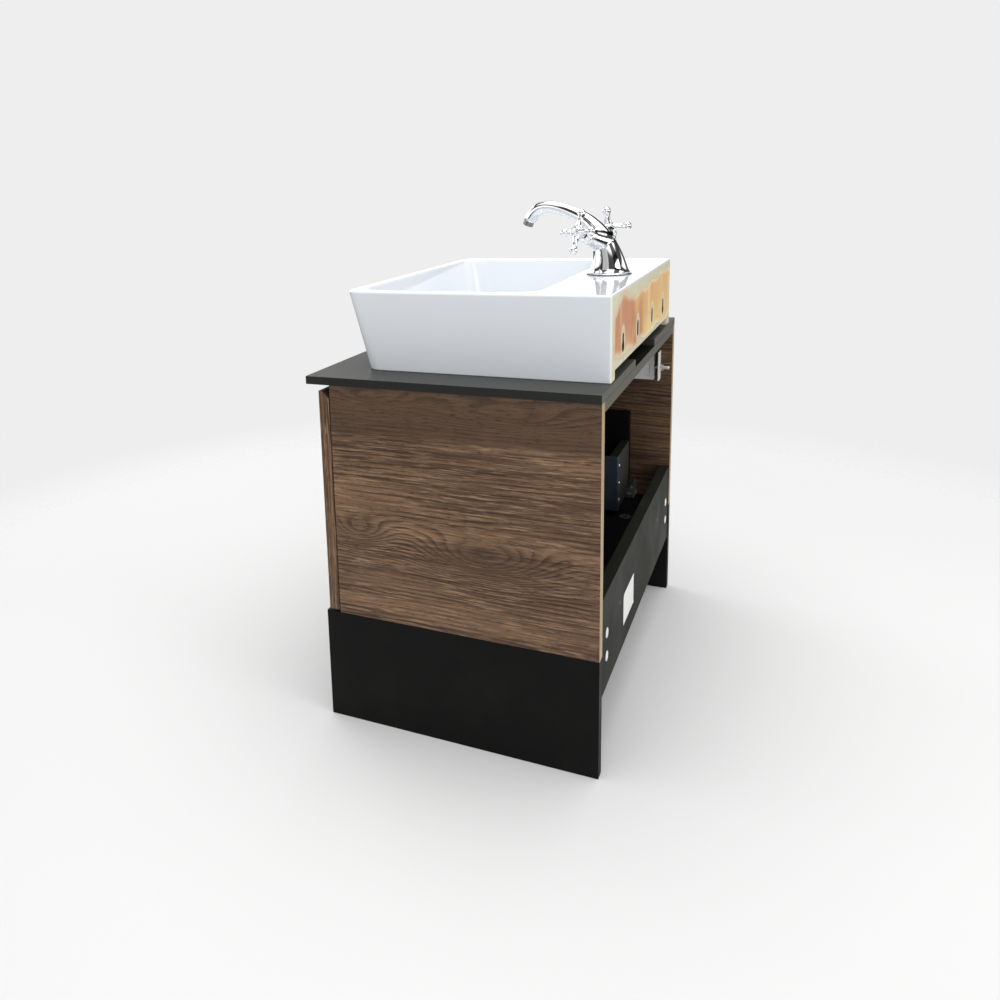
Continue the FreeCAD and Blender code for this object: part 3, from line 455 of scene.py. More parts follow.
# %% Glaze and clay
basin_low, basin_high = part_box("basin")
OUTER_HOLE, INNER_HOLE, SLOT_RUN = 195 * MM, 70 * MM, 14 * MM
hole_low = basin_low.z + 40 * MM
hole_middle = hole_low + SLOT_RUN / 2
SIDE_BORDER, FOOT_BORDER, HOLE_RING = 7 * MM, 23 * MM, 11 * MM
GLAZE = (0.755, 0.790, 0.830)
PALE_GLAZE = (0.775, 0.808, 0.845)
EDGE_GLAZE = (0.900, 0.855, 0.630)
CREAM = (0.830, 0.650, 0.370)
TERRACOTTA = (0.530, 0.240, 0.125)
TAN = (0.680, 0.420, 0.180)
STRAW = (0.780, 0.610, 0.250)
RUST = (0.440, 0.165, 0.075)


def white_glaze():
    """Sanitary glaze: almost a mirror, a little wavy under a clear coat."""
    finish, shader, place = start_finish("white_glaze", GLAZE, roughness=0.07,
                                         coat_weight=0.4, coat_roughness=0.03)
    wave = noise(place, 16.0)
    tone = fade(noise(place, 3.0), 0.3, 0.7)
    drive(shader, "Base Color", blend(tone, GLAZE, PALE_GLAZE))
    drive(shader, "Roughness", fade(wave, 0.3, 0.7, 0.05, 0.10))
    emboss(shader, wave, 0.00018)
    return finish


def bare_clay():
    """Brushed clay on the back face, glazed at its rim and round its holes."""
    finish, shader, place = start_finish("bare_clay", TERRACOTTA, roughness=0.75)
    axes = axes_of(place)
    across, height = axes["X"], axes["Z"]
    runs = noise(stretched(place, (24, 24, 3.5)), 1.0, 4.0, 0.6, 0.3)
    spots = noise(place, 60.0, 3.0, 0.6)
    patch = noise(stretched(place, (7, 7, 5), (0.35, 0, 0.2)), bend=0.5)
    tan_share = fade(calculate("MULTIPLY_ADD", across, -0.8, patch), 0.36, 0.62)
    tone = blend(tan_share, TERRACOTTA, TAN)
    tone = blend(fade(runs, 0.52, 0.72, 0.0, 0.60), tone, CREAM)
    tone = blend(fade(runs, 0.45, 0.34, 0.0, 0.50), tone, RUST)
    low_down = fade(height, basin_low.z + 70 * MM, basin_low.z + 25 * MM, 0.0, 0.7)
    tone = blend(times(low_down, fade(patch, 0.4, 0.6)), tone, STRAW)
    tone = blend(fade(spots, 0.62, 0.72, 0.0, 0.5), tone, RUST)

    # How far inside the glazed border and the glazed rings a point lies
    side = calculate("ABSOLUTE", across)
    drips = noise(stretched(place, (6, 6, 0), (0.1, 0, 0)), detail=1.0)
    sag = fade(drips, 0.35, 0.65, 6 * MM, 26 * MM)
    to_side = minus(basin_high.x - SIDE_BORDER, side)
    to_top = minus(minus(basin_high.z, sag), height)
    to_foot = minus(height, basin_low.z + FOOT_BORDER)
    inside = calculate("MINIMUM", calculate("MINIMUM", to_side, to_top), to_foot)
    wander = times(minus(noise(place, 8.0, 1.0), 0.5), 0.06)
    inside = plus(inside, wander)
    rise = times(minus(height, hole_middle), 0.62)
    for hole in (OUTER_HOLE, INNER_HOLE):
        off = minus(side, hole)
        reach = calculate("SQRT", plus(times(off, off), times(rise, rise)))
        ringed = times(minus(reach, HOLE_RING), 1.7)
        inside = calculate("MINIMUM", inside, ringed)
    bare = fade(inside, -4 * MM, 14 * MM)
    drive(shader, "Base Color", blend(bare, EDGE_GLAZE, tone))
    drive(shader, "Roughness", fade(bare, 0.0, 1.0, 0.12, 0.80))
    emboss(shader, plus(spots, times(bare, -0.6)), 0.00030)
    return finish


FINISH["glaze"] = white_glaze()
FINISH["clay"] = bare_clay()

# %% [markdown]
# ## Metals, plastics and the small things
#
# Chrome is a mirror with the faintest smear of water marks. Zinc plate is
# duller and spangled, and the recess is lacquered a dark blue. The plastic
# mouldings carry a fine spark-eroded texture. One function makes them all
# from a colour, a gloss range and the grain of their relief.

# %% Metals and plastics
DULL_MARKS = (0.10, 0.10, 0.10)


def plain_finish(name, color, gloss, grain, depth, marks=0.0, mark_color=DULL_MARKS, **levels):
    """A metal or moulding: a gloss that varies, fine relief and light marks."""
    finish, shader, place = start_finish(name, color, **levels)
    relief = noise(place, grain, 3.0, 0.6)
    smear = noise(place, 28.0, 4.0, 0.6)
    drive(shader, "Roughness", fade(smear, 0.35, 0.7, *gloss))
    drive(shader, "Base Color", blend(fade(smear, 0.45, 0.8, 0.0, marks), color, mark_color))
    emboss(shader, relief, depth)
    return finish


# Each row: a name, a colour, the roughness from clean to smeared, how fine and how deep the
# relief is, how strong the marks are and their colour
METALS = {
    "chrome": ("chrome", (0.80, 0.80, 0.81), (0.03, 0.09), 90, 0.00001),
    "zinc": ("zinc_plate", (0.74, 0.74, 0.73), (0.26, 0.42), 700, 0.00003,
             0.25, (0.40, 0.40, 0.38)),
    "brass": ("turned_brass", (0.72, 0.53, 0.25), (0.18, 0.32), 500, 0.00003,
              0.3, (0.42, 0.28, 0.12)),
    "knurled": ("knurled_steel", (0.26, 0.26, 0.27), (0.26, 0.40), 900, 0.00006,
                0.4, (0.12, 0.12, 0.12)),
}
OTHERS = {
    "lacquer": ("blue_black_lacquer", (0.037, 0.048, 0.066), (0.30, 0.44), 800, 0.00004,
                0.3, (0.085, 0.096, 0.108)),
    "white_plastic": ("white_moulding", (0.78, 0.79, 0.78), (0.34, 0.46), 1400, 0.00004,
                      0.15, (0.62, 0.61, 0.57)),
    "grey_plastic": ("grey_moulding", (0.050, 0.050, 0.052), (0.36, 0.50), 1400, 0.00004, 0.3),
    "porcelain": ("button_porcelain", (0.82, 0.82, 0.80), (0.06, 0.12), 200, 0.00001),
    "rubber": ("black_rubber", (0.020, 0.020, 0.020), (0.65, 0.80), 900, 0.00005, 0.2),
    "beech": ("beech_dowel", (0.52, 0.34, 0.18), (0.50, 0.62), 500, 0.00008,
              0.3, (0.40, 0.25, 0.13)),
    "paper": ("label_paper", (0.80, 0.80, 0.78), (0.60, 0.72), 900, 0.00003,
              0.2, (0.70, 0.69, 0.64)),
}
FINISH |= {key: plain_finish(*row, metallic=1.0) for key, row in METALS.items()}
FINISH |= {key: plain_finish(*row) for key, row in OTHERS.items()}
# The walls of the basin's fixing holes: a dark clay colour that is painted shade, for the dark
# depth of each hole
FINISH["hole_shade_clay"] = plain_finish(
    "hole_shade_clay", (0.060, 0.044, 0.026), (0.70, 0.85), 400, 0.00020, 0.5, (0.16, 0.12, 0.07),
    specular_ior_level=0.1)
print("finishes:", len(FINISH))

# %% [markdown]
# ## The modelling bench
#
# Each piece is made as by hand: a primitive at its size and place, then
# edit-mode steps on faces and edges that are picked by where they are. A few
# short helpers hold those steps. The last one settles a piece: it gets its
# finishes, its smooth shading and the body it rides on, and the node it
# stands for is hidden.


# %% Bench helpers
BODY_OF = {node: body for body, nodes in frame["record"]["behaviour"]["bodies"].items()
           for node in nodes}
SLOT_OF = {row["node"]: row["material_slot"] for row in frame["record"]["subparts"]}


def centre_of(node):
    low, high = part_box(node)
    return (low + high) / 2


def nothing_selected():
    if bpy.context.object and bpy.context.object.mode == "EDIT":
        bpy.ops.object.mode_set(mode="OBJECT")
    bpy.ops.object.select_all(action="DESELECT")


def take(piece):
    """Make one piece the selected and active one."""
    nothing_selected()
    piece.select_set(True)
    bpy.context.view_layer.objects.active = piece
    return piece


def freeze(piece):
    """Put the object's place into its mesh."""
    take(piece)
    bpy.ops.object.transform_apply(location=True, rotation=True, scale=True)
    return piece


def named(name):
    """Name the piece that has just been made."""
    bpy.context.object.name = name
    return bpy.context.object


def block(name, low, high):
    """A cube between two corners."""
    nothing_selected()
    low, high = Vector(low), Vector(high)
    bpy.ops.mesh.primitive_cube_add(size=1, location=(low + high) / 2)
    made = named(name)
    made.scale = high - low
    return freeze(made)


def drum(name, centre, radius, height, sides=48, along_y=False):
    """A cylinder about a centre, upright or along Y."""
    nothing_selected()
    bpy.ops.mesh.primitive_cylinder_add(
        vertices=sides, radius=radius, depth=height, location=centre,
        rotation=(math.pi / 2 if along_y else 0, 0, 0))
    return freeze(named(name))


def pick(piece, wanted, kind="FACE"):
    """Go into edit mode with only the wanted faces, edges or vertices selected.

    A face is judged by its centre and normal, an edge by its two ends and a
    vertex by its place.
    """
    take(piece)
    mesh = piece.data
    bpy.ops.object.mode_set(mode="EDIT")
    bpy.ops.mesh.select_mode(type=kind)
    bpy.ops.mesh.select_all(action="DESELECT")
    bpy.ops.object.mode_set(mode="OBJECT")
    if kind == "FACE":
        for face in mesh.polygons:
            face.select = wanted(face.center, face.normal)
    elif kind == "EDGE":
        for edge in mesh.edges:
            edge.select = wanted(*(mesh.vertices[index].co for index in edge.vertices))
    else:
        for vertex in mesh.vertices:
            vertex.select = wanted(vertex.co)
    bpy.ops.object.mode_set(mode="EDIT")


def done():
    """Leave edit mode."""
    bpy.ops.object.mode_set(mode="OBJECT")


def face_outwards():
    """In edit mode, turn every face outwards and leave."""
    bpy.ops.mesh.select_all(action="SELECT")
    bpy.ops.mesh.normals_make_consistent(inside=False)
    done()


def round_edges(piece, wanted, width, segments=3):
    """Bevel the edges that a test of their two ends picks."""
    pick(piece, wanted, "EDGE")
    bpy.ops.mesh.bevel(offset=width, segments=segments, affect="EDGES", profile=0.5)
    done()
    return piece


def every_edge(_first, _second):
    return True


def upright(first, second):
    """Whether an edge stands up by more than 50 mm."""
    return abs(first.z - second.z) > 50 * MM


def facing_wall(_centre, normal):
    return normal.y > 0.9


def modify(piece, kind, **settings):
    """Add a modifier, set it up and apply it."""
    take(piece)
    modifier = piece.modifiers.new(kind.lower(), kind)
    for name, value in settings.items():
        setattr(modifier, name, value)
    bpy.ops.object.modifier_apply(modifier=modifier.name)
    return piece


def carve(piece, *tools):
    """Cut tools out of a piece and throw the tools away."""
    for tool in tools:
        modify(piece, "BOOLEAN", object=tool, operation="DIFFERENCE", solver="EXACT")
        bpy.data.objects.remove(tool)
    return piece


def joined(name, pieces):
    """Join several meshes into the first one."""
    take(pieces[0])
    for other in pieces[1:]:
        other.select_set(True)
    if len(pieces) > 1:
        bpy.ops.object.join()
    pieces[0].name = name
    return pieces[0]


def moved(piece, matrix):
    """Carry a finished mesh to its place."""
    piece.matrix_world = matrix
    return freeze(piece)


def mirrored_block(name, sign, near, far):
    """A cube on the right, or with a sign of -1 its mirror image on the left."""
    low, high = sorted((sign * near[0], sign * far[0]))
    return block(name, (low, *near[1:]), (high, *far[1:]))


def give_finishes(piece, *finishes):
    piece.data.materials.clear()
    for finish in finishes:
        piece.data.materials.append(FINISH[finish])


def settle(piece, node, *finishes, smooth=30, weighted=True):
    """Finish a piece that stands for a node."""
    take(piece)
    if len(piece.data.materials) == 0:
        give_finishes(piece, *finishes)
    bpy.ops.object.shade_smooth_by_angle(angle=math.radians(smooth))
    if weighted:
        modify(piece, "WEIGHTED_NORMAL", keep_sharp=True, weight=50)
    piece.select_set(False)
    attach(piece, BODY_OF[node])
    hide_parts(node)
    return piece


def paint(piece, number, wanted):
    """Give the faces that a test picks another of the piece's finishes."""
    for face in piece.data.polygons:
        if wanted(face.center, face.normal):
            face.material_index = number


# %% [markdown]
# ## Boards
#
# A cabinet board is a slab with square faces and edges that a trimmer has
# eased by half a millimetre. The bevel matters more than its size suggests:
# it catches the light and tells the eye where one board ends. Each board is
# a cube at its node's box with every edge bevelled. The walnut sides then
# get their pale band on the face that goes to the wall.

# %% Make the plain boards
EASED = 0.5 * MM
BOARDS = {
    "side_panel_right": "walnut_side", "side_panel_left": "walnut_side",
    "leg_right": "black_board", "leg_left": "black_board",
    # The rear bottom rail gets a black lightened by dust and by painted light from the open back
    "rear_bottom_rail": "dusty_backlit_board", "rear_top_rail": "black_board",
    "front_top_rail": "black_board", "bottom_panel": "black_board",
    "drawer_side_right": "black_board", "drawer_side_left": "black_board",
}
# Faces towards the cabinet's inside: on the side panels, walnut darkened by painted shade
INNER_FACE = {"side_panel_right": "walnut_shaded_inner", "side_panel_left": "walnut_shaded_inner"}
# The faces towards the wall: a pale band on the walnut sides, and on the top rail a lighter grey
# that is painted light from the open back
BACK_BAND = {"side_panel_right": "pale_edge", "side_panel_left": "pale_edge",
             "rear_top_rail": "backlit_slab"}
GROMMET_BORE = 8 * MM

for node, finish in BOARDS.items():
    low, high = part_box(node)
    plank = round_edges(block(f"{node}_board", low, high), every_edge, EASED, 2)
    if node == "bottom_panel":
        carve(plank, drum("grommet_bore", centre_of("bottom_grommet"), GROMMET_BORE, 60 * MM))
    give_finishes(plank, finish, BACK_BAND.get(node, finish), INNER_FACE.get(node, finish))
    inwards = -math.copysign(1, low.x + high.x)
    paint(plank, 2, lambda centre, normal: normal.x * inwards > 0.9)
    paint(plank, 1, facing_wall)
    settle(plank, node)
print("boards:", len(BOARDS))

# %% [markdown]
# ## The drawer's boards
#
# The front carries a long bevel at its top, where fingers pull it open, so
# its cube loses that edge first. The bottom has a bay cut out of it for the
# trap, and the two short backs have a notch for the runner.

# %% Make the drawer's boards
FINGER_BEVEL = 12 * MM
front_low, front_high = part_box("drawer_front")
front = block("drawer_front_board", front_low, front_high)
round_edges(front, lambda a, b: (min(a.z, b.z) > front_high.z - MM
                                 and min(a.y, b.y) > front_high.y - MM), FINGER_BEVEL, 1)
round_edges(front, every_edge, EASED, 2)
give_finishes(front, "walnut_front", "walnut_strip")
paint(front, 1, lambda centre, normal: abs(normal.x) > 0.9)
settle(front, "drawer_front")

floor_low, floor_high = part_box("drawer_bottom")
bay_low, bay_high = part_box("trap_recess")
back_low, back_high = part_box("drawer_back_right")
drawer_floor = block("drawer_bottom_board", floor_low, floor_high)
carve(drawer_floor, block("bay", (-back_low.x, bay_low.y, floor_low.z - MM),
                          (back_low.x, 1, floor_high.z + MM)))
settle(drawer_floor, "drawer_bottom", "black_board")

RUNNER_ROOM = 3 * MM
rail_low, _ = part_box("drawer_rail_right")
for side, sign in (("right", 1), ("left", -1)):
    back = block(f"drawer_back_{side}_board", *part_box(f"drawer_back_{side}"))
    carve(back, mirrored_block(
        "runner_notch", sign, (rail_low.x - RUNNER_ROOM, back_low.y - MM, back_low.z - MM),
        (back_high.x + MM, back_high.y + MM, floor_low.z + MM)))
    round_edges(back, lambda a, b: min(a.z, b.z) > back_high.z - MM, EASED, 2)
    # The drawer backs: the black lightened by dust and by painted light from the open back
    give_finishes(back, "dusty_backlit_board", "dusty_backlit_face")
    # Painted light: the faces towards the wall and the open back get the lighter black
    paint(back, 1, facing_wall)
    settle(back, f"drawer_back_{side}")

# %% [markdown]
# ## The slab
#
# A thin compact laminate slab, with a bay at the back for pipes. Its cut
# faces differ from its skin: those that look at the wall are painted greyer,
# as painted light from the open back, and the front and the ends show a black
# core. The arrises are chamfered a little.

# %% Make the slab
slab_low, slab_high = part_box("countertop")
BAY_HALF, BAY_DEPTH, SLAB_BORE, ARRIS = 95 * MM, 110 * MM, 24.5 * MM, 0.7 * MM
slab = block("countertop_slab", slab_low, slab_high)
bay_front = slab_high.y - BAY_DEPTH
carve(slab, block("pipe_bay", (-BAY_HALF, bay_front, slab_low.z - MM),
                  (BAY_HALF, 1, slab_high.z + MM)))
round_edges(slab, every_edge, ARRIS, 2)
waste_spot = centre_of("waste_body")
carve(slab, drum("waste_hole", (waste_spot.x, waste_spot.y, slab_low.z), SLAB_BORE, 60 * MM))
give_finishes(slab, "slab", "backlit_slab", "slab_core")
# Painted light: the faces that look at the wall get the lighter grey
paint(slab, 1, facing_wall)
paint(slab, 2, lambda centre, normal: normal.y < -0.9 or (
    abs(normal.x) > 0.9 and abs(centre.x) > BAY_HALF + MM))
settle(slab, "countertop")

# %% [markdown]
# ## The basin
#
# The basin is cast clay: a box with a leaning front, a deep bowl with soft
# corners, a flat deck for the tap and a hollow underside. It could be one
# cube worked by insets, but corners that tight are cleaner with two bodies:
# an outer block whose front foot moves back, and a tapered bowl block with
# round corners that is cut out of it. The rim is rounded after the cut.

# %% Shape the basin
RIM_WIDTH, DECK, BOWL_DEPTH = 18 * MM, 116 * MM, 100 * MM
SLANT, RIM_ROUND, FOOT_ROUND = 35 * MM, 4 * MM, 1.6 * MM
FRONT_CORNER, REAR_CORNER, BOWL_CORNER, BOWL_FLOOR = 24 * MM, 3 * MM, 42 * MM, 26 * MM
DRAFT = math.tan(math.radians(12))
OVERRUN = 10 * MM
top_z, floor_z = basin_high.z, basin_high.z - BOWL_DEPTH

basin = block("basin_ceramic", basin_low, basin_high)
pick(basin, lambda place: place.z < basin_low.z + MM and place.y < 0, "VERT")
bpy.ops.transform.translate(value=(0, SLANT, 0))
done()
round_edges(basin, lambda a, b: upright(a, b) and max(a.y, b.y) < 0, FRONT_CORNER, 12)
round_edges(basin, lambda a, b: upright(a, b) and min(a.y, b.y) > 0, REAR_CORNER, 4)

half_across = basin_high.x - RIM_WIDTH
bowl_front, bowl_back = basin_low.y + RIM_WIDTH, basin_high.y - DECK
bowl_middle = Vector((0, (bowl_front + bowl_back) / 2, floor_z))
flare = OVERRUN * DRAFT
bowl = block("bowl", (-half_across - flare, bowl_front - flare, floor_z),
             (half_across + flare, bowl_back + flare, top_z + OVERRUN))
narrowing = (BOWL_DEPTH + OVERRUN) * DRAFT
half_along = (bowl_back - bowl_front) / 2
pick(bowl, lambda centre, normal: normal.z < -0.9)
bpy.ops.transform.resize(
    value=(1 - narrowing / (half_across + flare), 1 - narrowing / (half_along + flare), 1),
    center_override=bowl_middle)
done()
round_edges(bowl, upright, BOWL_CORNER, 12)
round_edges(bowl, lambda a, b: max(a.z, b.z) < floor_z + MM, BOWL_FLOOR, 8)
carve(basin, bowl)
print("bowl:", round(2 * half_across, 3), "by", round(bowl_back - bowl_front, 3), "m at the rim")

# %% [markdown]
# Clay has no sharp arris, so the rim gets a soft radius and the foot a small
# one. An edge belongs to the rim when it is level with the top and both its
# ends are round the bowl, or both on the outside.


# %% Round the rim and the foot
def in_bowl(place):
    return abs(place.x) < half_across + MM and bowl_front - MM < place.y < bowl_back + MM


def on_rim(first, second):
    level = min(first.z, second.z) > top_z - 0.1 * MM
    return level and in_bowl(first) == in_bowl(second)


round_edges(basin, on_rim, RIM_ROUND, 5)
round_edges(basin, lambda a, b: max(a.z, b.z) < basin_low.z + 0.1 * MM, FOOT_ROUND, 3)
print("basin faces before its hollows:", len(basin.data.polygons))

# %% [markdown]
# The underside is hollow, as every slip-cast basin is, and its back foot is
# open in a low arch for hoses. The tap and waste holes go through, and the
# back wall has two keyholes for hanging and two upright ovals for bolts.

# %% Hollow the basin
WALL, DECK_THICK, ARCH_HALF, ARCH_RISE = 12 * MM, 14 * MM, 255 * MM, 15 * MM
WASTE_BORE, TAP_BORE, THROUGH = 23 * MM, 17.5 * MM, 60 * MM
SLOT, KEYHOLE = 6 * MM, 9 * MM
wall_half = basin_high.x - WALL
back_inside = basin_high.y - WALL
tap_spot = centre_of("tap_gasket")
carve(
    basin,
    block("deck_hollow", (-wall_half, basin_high.y - DECK + WALL, basin_low.z - MM),
          (wall_half, back_inside, basin_high.z - DECK_THICK)),
    block("foot_hollow", (-wall_half, basin_low.y + SLANT + WALL, basin_low.z - MM),
          (wall_half, back_inside - MM, floor_z - WALL)),
    block("arch", (-ARCH_HALF, back_inside - 2 * MM, basin_low.z - MM),
          (ARCH_HALF, basin_high.y + MM, basin_low.z + ARCH_RISE)),
    drum("waste_bore", (waste_spot.x, waste_spot.y, floor_z), WASTE_BORE, THROUGH),
    drum("tap_bore", (tap_spot.x, tap_spot.y, top_z), TAP_BORE, THROUGH),
)
for hole_x, low_radius in ((OUTER_HOLE, KEYHOLE), (INNER_HOLE, SLOT)):
    for at in (hole_x, -hole_x):
        carve(basin,
              drum("hole_low", (at, back_inside, hole_low), low_radius, 40 * MM, 24, True),
              block("hole_slot", (at - SLOT, back_inside - 20 * MM, hole_low),
                    (at + SLOT, basin_high.y + 8 * MM, hole_low + SLOT_RUN)),
              drum("hole_high", (at, back_inside, hole_low + SLOT_RUN), SLOT, 40 * MM, 24, True))


def on_back(centre, normal):
    """Whether a face is on the back, or in the back wall under the glazed edges."""
    outside = normal.y > 0.9 and centre.y > basin_high.y - MM
    in_wall = centre.y > back_inside - MM and normal.y > -0.5
    return outside or (in_wall and centre.z < basin_high.z - 6 * MM
                       and abs(centre.x) < basin_high.x - MM)


def in_hole(centre, normal):
    """Whether a face is on the wall of a fixing hole."""
    in_wall = back_inside < centre.y < basin_high.y - 0.2 * MM and abs(normal.y) < 0.5
    return (in_wall and hole_low - 10 * MM < centre.z < hole_low + 22 * MM
            and any(abs(abs(centre.x) - hole) < 10 * MM for hole in (OUTER_HOLE, INNER_HOLE)))


give_finishes(basin, "glaze", "clay", "hole_shade_clay")
paint(basin, 1, on_back)
# Painted shade on the walls of the fixing holes
paint(basin, 2, in_hole)
settle(basin, "basin")
print("basin done:", len(basin.data.polygons), "faces")

# %% [markdown]
# ## Turned parts
#
# Taps and wastes are full of turned parts. A lathe profile is drawn as a
# chain of points, by extruding one vertex from point to point, and then spun
# about the axis. Profiles that reach the axis close there, and doubled
# points are merged before the normals are made to face out.


# %% The lathe
def lone_point(name, place):
    """A mesh of one selected vertex, left in edit mode to be extruded."""
    nothing_selected()
    bpy.ops.mesh.primitive_plane_add(size=MM, location=(0, 0, 0))
    made = named(name)
    bpy.ops.object.mode_set(mode="EDIT")
    bpy.ops.mesh.select_mode(type="VERT")
    bpy.ops.mesh.select_all(action="SELECT")
    bpy.ops.mesh.merge(type="CENTER")
    bpy.ops.transform.translate(value=place)
    return made


def lathe(name, profile, place=Matrix.Identity(4), steps=48):
    """Spin (radius, height) points in millimetres about Z, then carry it to a place."""
    profile = [(radius * MM, height * MM) for radius, height in profile]
    made = lone_point(name, (profile[0][0], 0, profile[0][1]))
    for before, after in zip(profile, profile[1:]):
        step = (after[0] - before[0], 0, after[1] - before[1])
        bpy.ops.mesh.extrude_vertices_move(TRANSFORM_OT_translate={"value": step})
    bpy.ops.mesh.select_all(action="SELECT")
    bpy.ops.mesh.spin(steps=steps, angle=2 * math.pi, center=(0, 0, 0), axis=(0, 0, 1))
    bpy.ops.mesh.select_all(action="SELECT")
    bpy.ops.mesh.remove_doubles(threshold=0.01 * MM)
    face_outwards()
    return moved(made, place)


def pointing(origin, direction, roll=0.0):
    """A place whose Z axis points in a direction."""
    turn = Vector(direction).to_track_quat("Z", "Y").to_matrix().to_4x4()
    return Matrix.Translation(Vector(origin)) @ turn @ Matrix.Rotation(roll, 4, "Z")


def towards_wall(low, high, roll=0.0):
    """A place at the middle of a box's front, whose Z axis points at the wall."""
    return pointing(((low.x + high.x) / 2, low.y, (low.z + high.z) / 2), (0, 1, 0), roll)


# %% [markdown]
# ## The mixer's body
#
# The body is one casting that leans forward and thins into a swan neck. It
# is drawn like a snake: a round ring at the base, then one extrusion for
# each station, moved, tilted and shrunk. The two valve horns are cones that
# run into it. A remesh melts the three together and a little smoothing
# leaves the soft fillets that a sand casting has before it is polished.

# %% Cast the mixer's body
joint_of = {joint["name"]: joint for joint in frame["joints"]}
TURNS = {"right": joint_of["cold_handle_turn"], "left": joint_of["hot_handle_turn"]}
valve_axis = {side: Vector(joint["axis"]) for side, joint in TURNS.items()}
hub_place = {side: Vector(joint["pos_m"]) for side, joint in TURNS.items()}
HUB_START, VALVE_SEAT = 51 * MM, 40 * MM
forward = valve_axis["right"] + valve_axis["left"]
facing = math.atan2(forward.x, -forward.y)
tap_place = Matrix.Translation((*tap_spot.xy, top_z)) @ Matrix.Rotation(facing, 4, "Z")

# Each station: how far forward, how high, its radius and its lean in degrees
STATIONS = [
    (0, 1.5, 37, 0), (0, 3.2, 36, 0), (0, 5.2, 34.4, 0), (0.1, 8.5, 32.4, 0), (0.4, 13, 30.8, 2),
    (1, 18, 29.4, 5), (3, 30, 26, 12), (8, 45, 22.5, 22), (15, 61, 18.5, 36),
    (28, 79, 15, 50), (45, 92, 12.8, 58), (66, 102, 11.6, 64), (90, 110.5, 11.2, 72),
    (112, 115, 11, 84), (129, 114.5, 11, 104), (143, 107, 11, 126), (151, 97, 11.2, 146),
    (156.5, 87, 11.8, 156),
]


def snake(name, stations):
    """Extrude a ring from station to station."""
    nothing_selected()
    start, level, radius, _lean = stations[0]
    bpy.ops.mesh.primitive_circle_add(vertices=16, radius=radius * MM, fill_type="NGON",
                                      location=(0, -start * MM, level * MM))
    made = freeze(named(name))
    bpy.ops.object.mode_set(mode="EDIT")
    bpy.ops.mesh.select_mode(type="FACE")
    bpy.ops.mesh.select_all(action="SELECT")
    for before, after in zip(stations, stations[1:]):
        step = Vector((0, before[0] - after[0], after[1] - before[1])) * MM
        centre = Vector((0, -after[0], after[1])) * MM
        bpy.ops.mesh.extrude_region_move(TRANSFORM_OT_translate={"value": step})
        ratio = after[2] / before[2]
        bpy.ops.transform.resize(value=(ratio, ratio, ratio), center_override=centre)
        bpy.ops.transform.rotate(value=math.radians(before[3] - after[3]), orient_axis="X",
                                 center_override=centre)
    face_outwards()
    return modify(made, "SUBSURF", levels=2, render_levels=2)


HORN = [(0, 0), (19, 0), (18, 14), (16, 26), (15, 33), (15, 40), (0, 40)]
MOUTH = [(0, -6), (9.7, -6), (9.7, 8), (0, 8)]
FOOT_PLATE = [(0, 1), (36.6, 1), (37.6, 1.3), (38, 1.9), (37.7, 2.5), (36.6, 2.9), (35, 3.1),
              (0, 3.2)]
CAST_VOXEL = 0.9 * MM
MOUTH_SPOT, MOUTH_LEAN = Vector((0, -157, 87)) * MM, math.radians(24)
neck = moved(snake("neck", STATIONS), tap_place)
horns = [lathe(f"horn_{side}", HORN, pointing(hub_place[side] - axis * HUB_START, axis))
         for side, axis in valve_axis.items()]
tap = joined("mixer_body", [neck] + horns)
modify(tap, "REMESH", mode="VOXEL", voxel_size=CAST_VOXEL)
modify(tap, "SMOOTH", factor=0.5, iterations=12)
mouth = tap_place @ MOUTH_SPOT
out_of_mouth = tap_place.to_3x3() @ Vector((0, -math.sin(MOUTH_LEAN), -math.cos(MOUTH_LEAN)))
carve(tap, lathe("mouth_bore", MOUTH, pointing(mouth, out_of_mouth)))
foot_plate = lathe("mixer_foot", FOOT_PLATE, tap_place, 96)
settle(joined("mixer_body", [tap, foot_plate]), "tap_body", "chrome", smooth=50, weighted=False)
print("mixer body:", len(tap.data.polygons), "faces")

# %% [markdown]
# ## Bonnets, handles and their buttons
#
# A bonnet covers each valve. The handle is a cross of four tapered arms that
# end in balls, around a stepped hub with a porcelain button. The arms are
# turned on the lathe, set round the hub and melted into it by a remesh.

# %% Turn the bonnets and the handles
ARM = [(0, 2), (6.6, 2), (6.6, 8), (6.3, 11), (5.5, 15), (4.9, 18.5), (4.7, 21.5), (5.0, 24.2),
       (5.8, 26.4), (6.7, 28.8), (7.2, 31.2), (7.2, 32.6), (6.9, 34.2), (5.7, 36.4), (3.8, 38.1),
       (1.9, 38.95), (0, 39.2)]
BONNET = [(4.1, 0), (15, 0), (15.5, 0.6), (15.6, 1.8), (15.2, 2.8), (14.6, 3.4), (12.4, 5.4),
          (10.9, 8), (10.2, 9), (7.0, 9.5), (4.1, 9.5), (4.1, 0)]
BOSS = [(0, 4), (8.6, 4), (9.4, 8), (9.4, 17), (0, 17)]
COLLAR = [(4.2, 0), (6.8, 0), (7.4, 0.6), (8.5, 2.6), (8.7, 4.6), (8.4, 6.6), (9.4, 8), (10, 9.2),
          (10, 16.8), (9.7, 18.4), (8.9, 19.6), (8.2, 20), (4.2, 20), (4.2, 0)]
BUTTON = {
    "porcelain": [(0, 0), (5.6, 0), (5.6, 1.7), (5.3, 2.3), (4.2, 2.75), (2.4, 2.95), (0, 3.0)],
    # Painted shade: this dark ring stands for the shade in the groove between the button and its
    # chrome rim
    "rubber": [(5.6, 0), (6.6, 0), (6.6, 1.2), (5.6, 1.2), (5.6, 0)],
    "chrome": [(6.6, 0), (8, 0), (8, 1.5), (7.6, 2.2), (7.0, 2.4), (6.6, 2.0), (6.6, 0)],
}
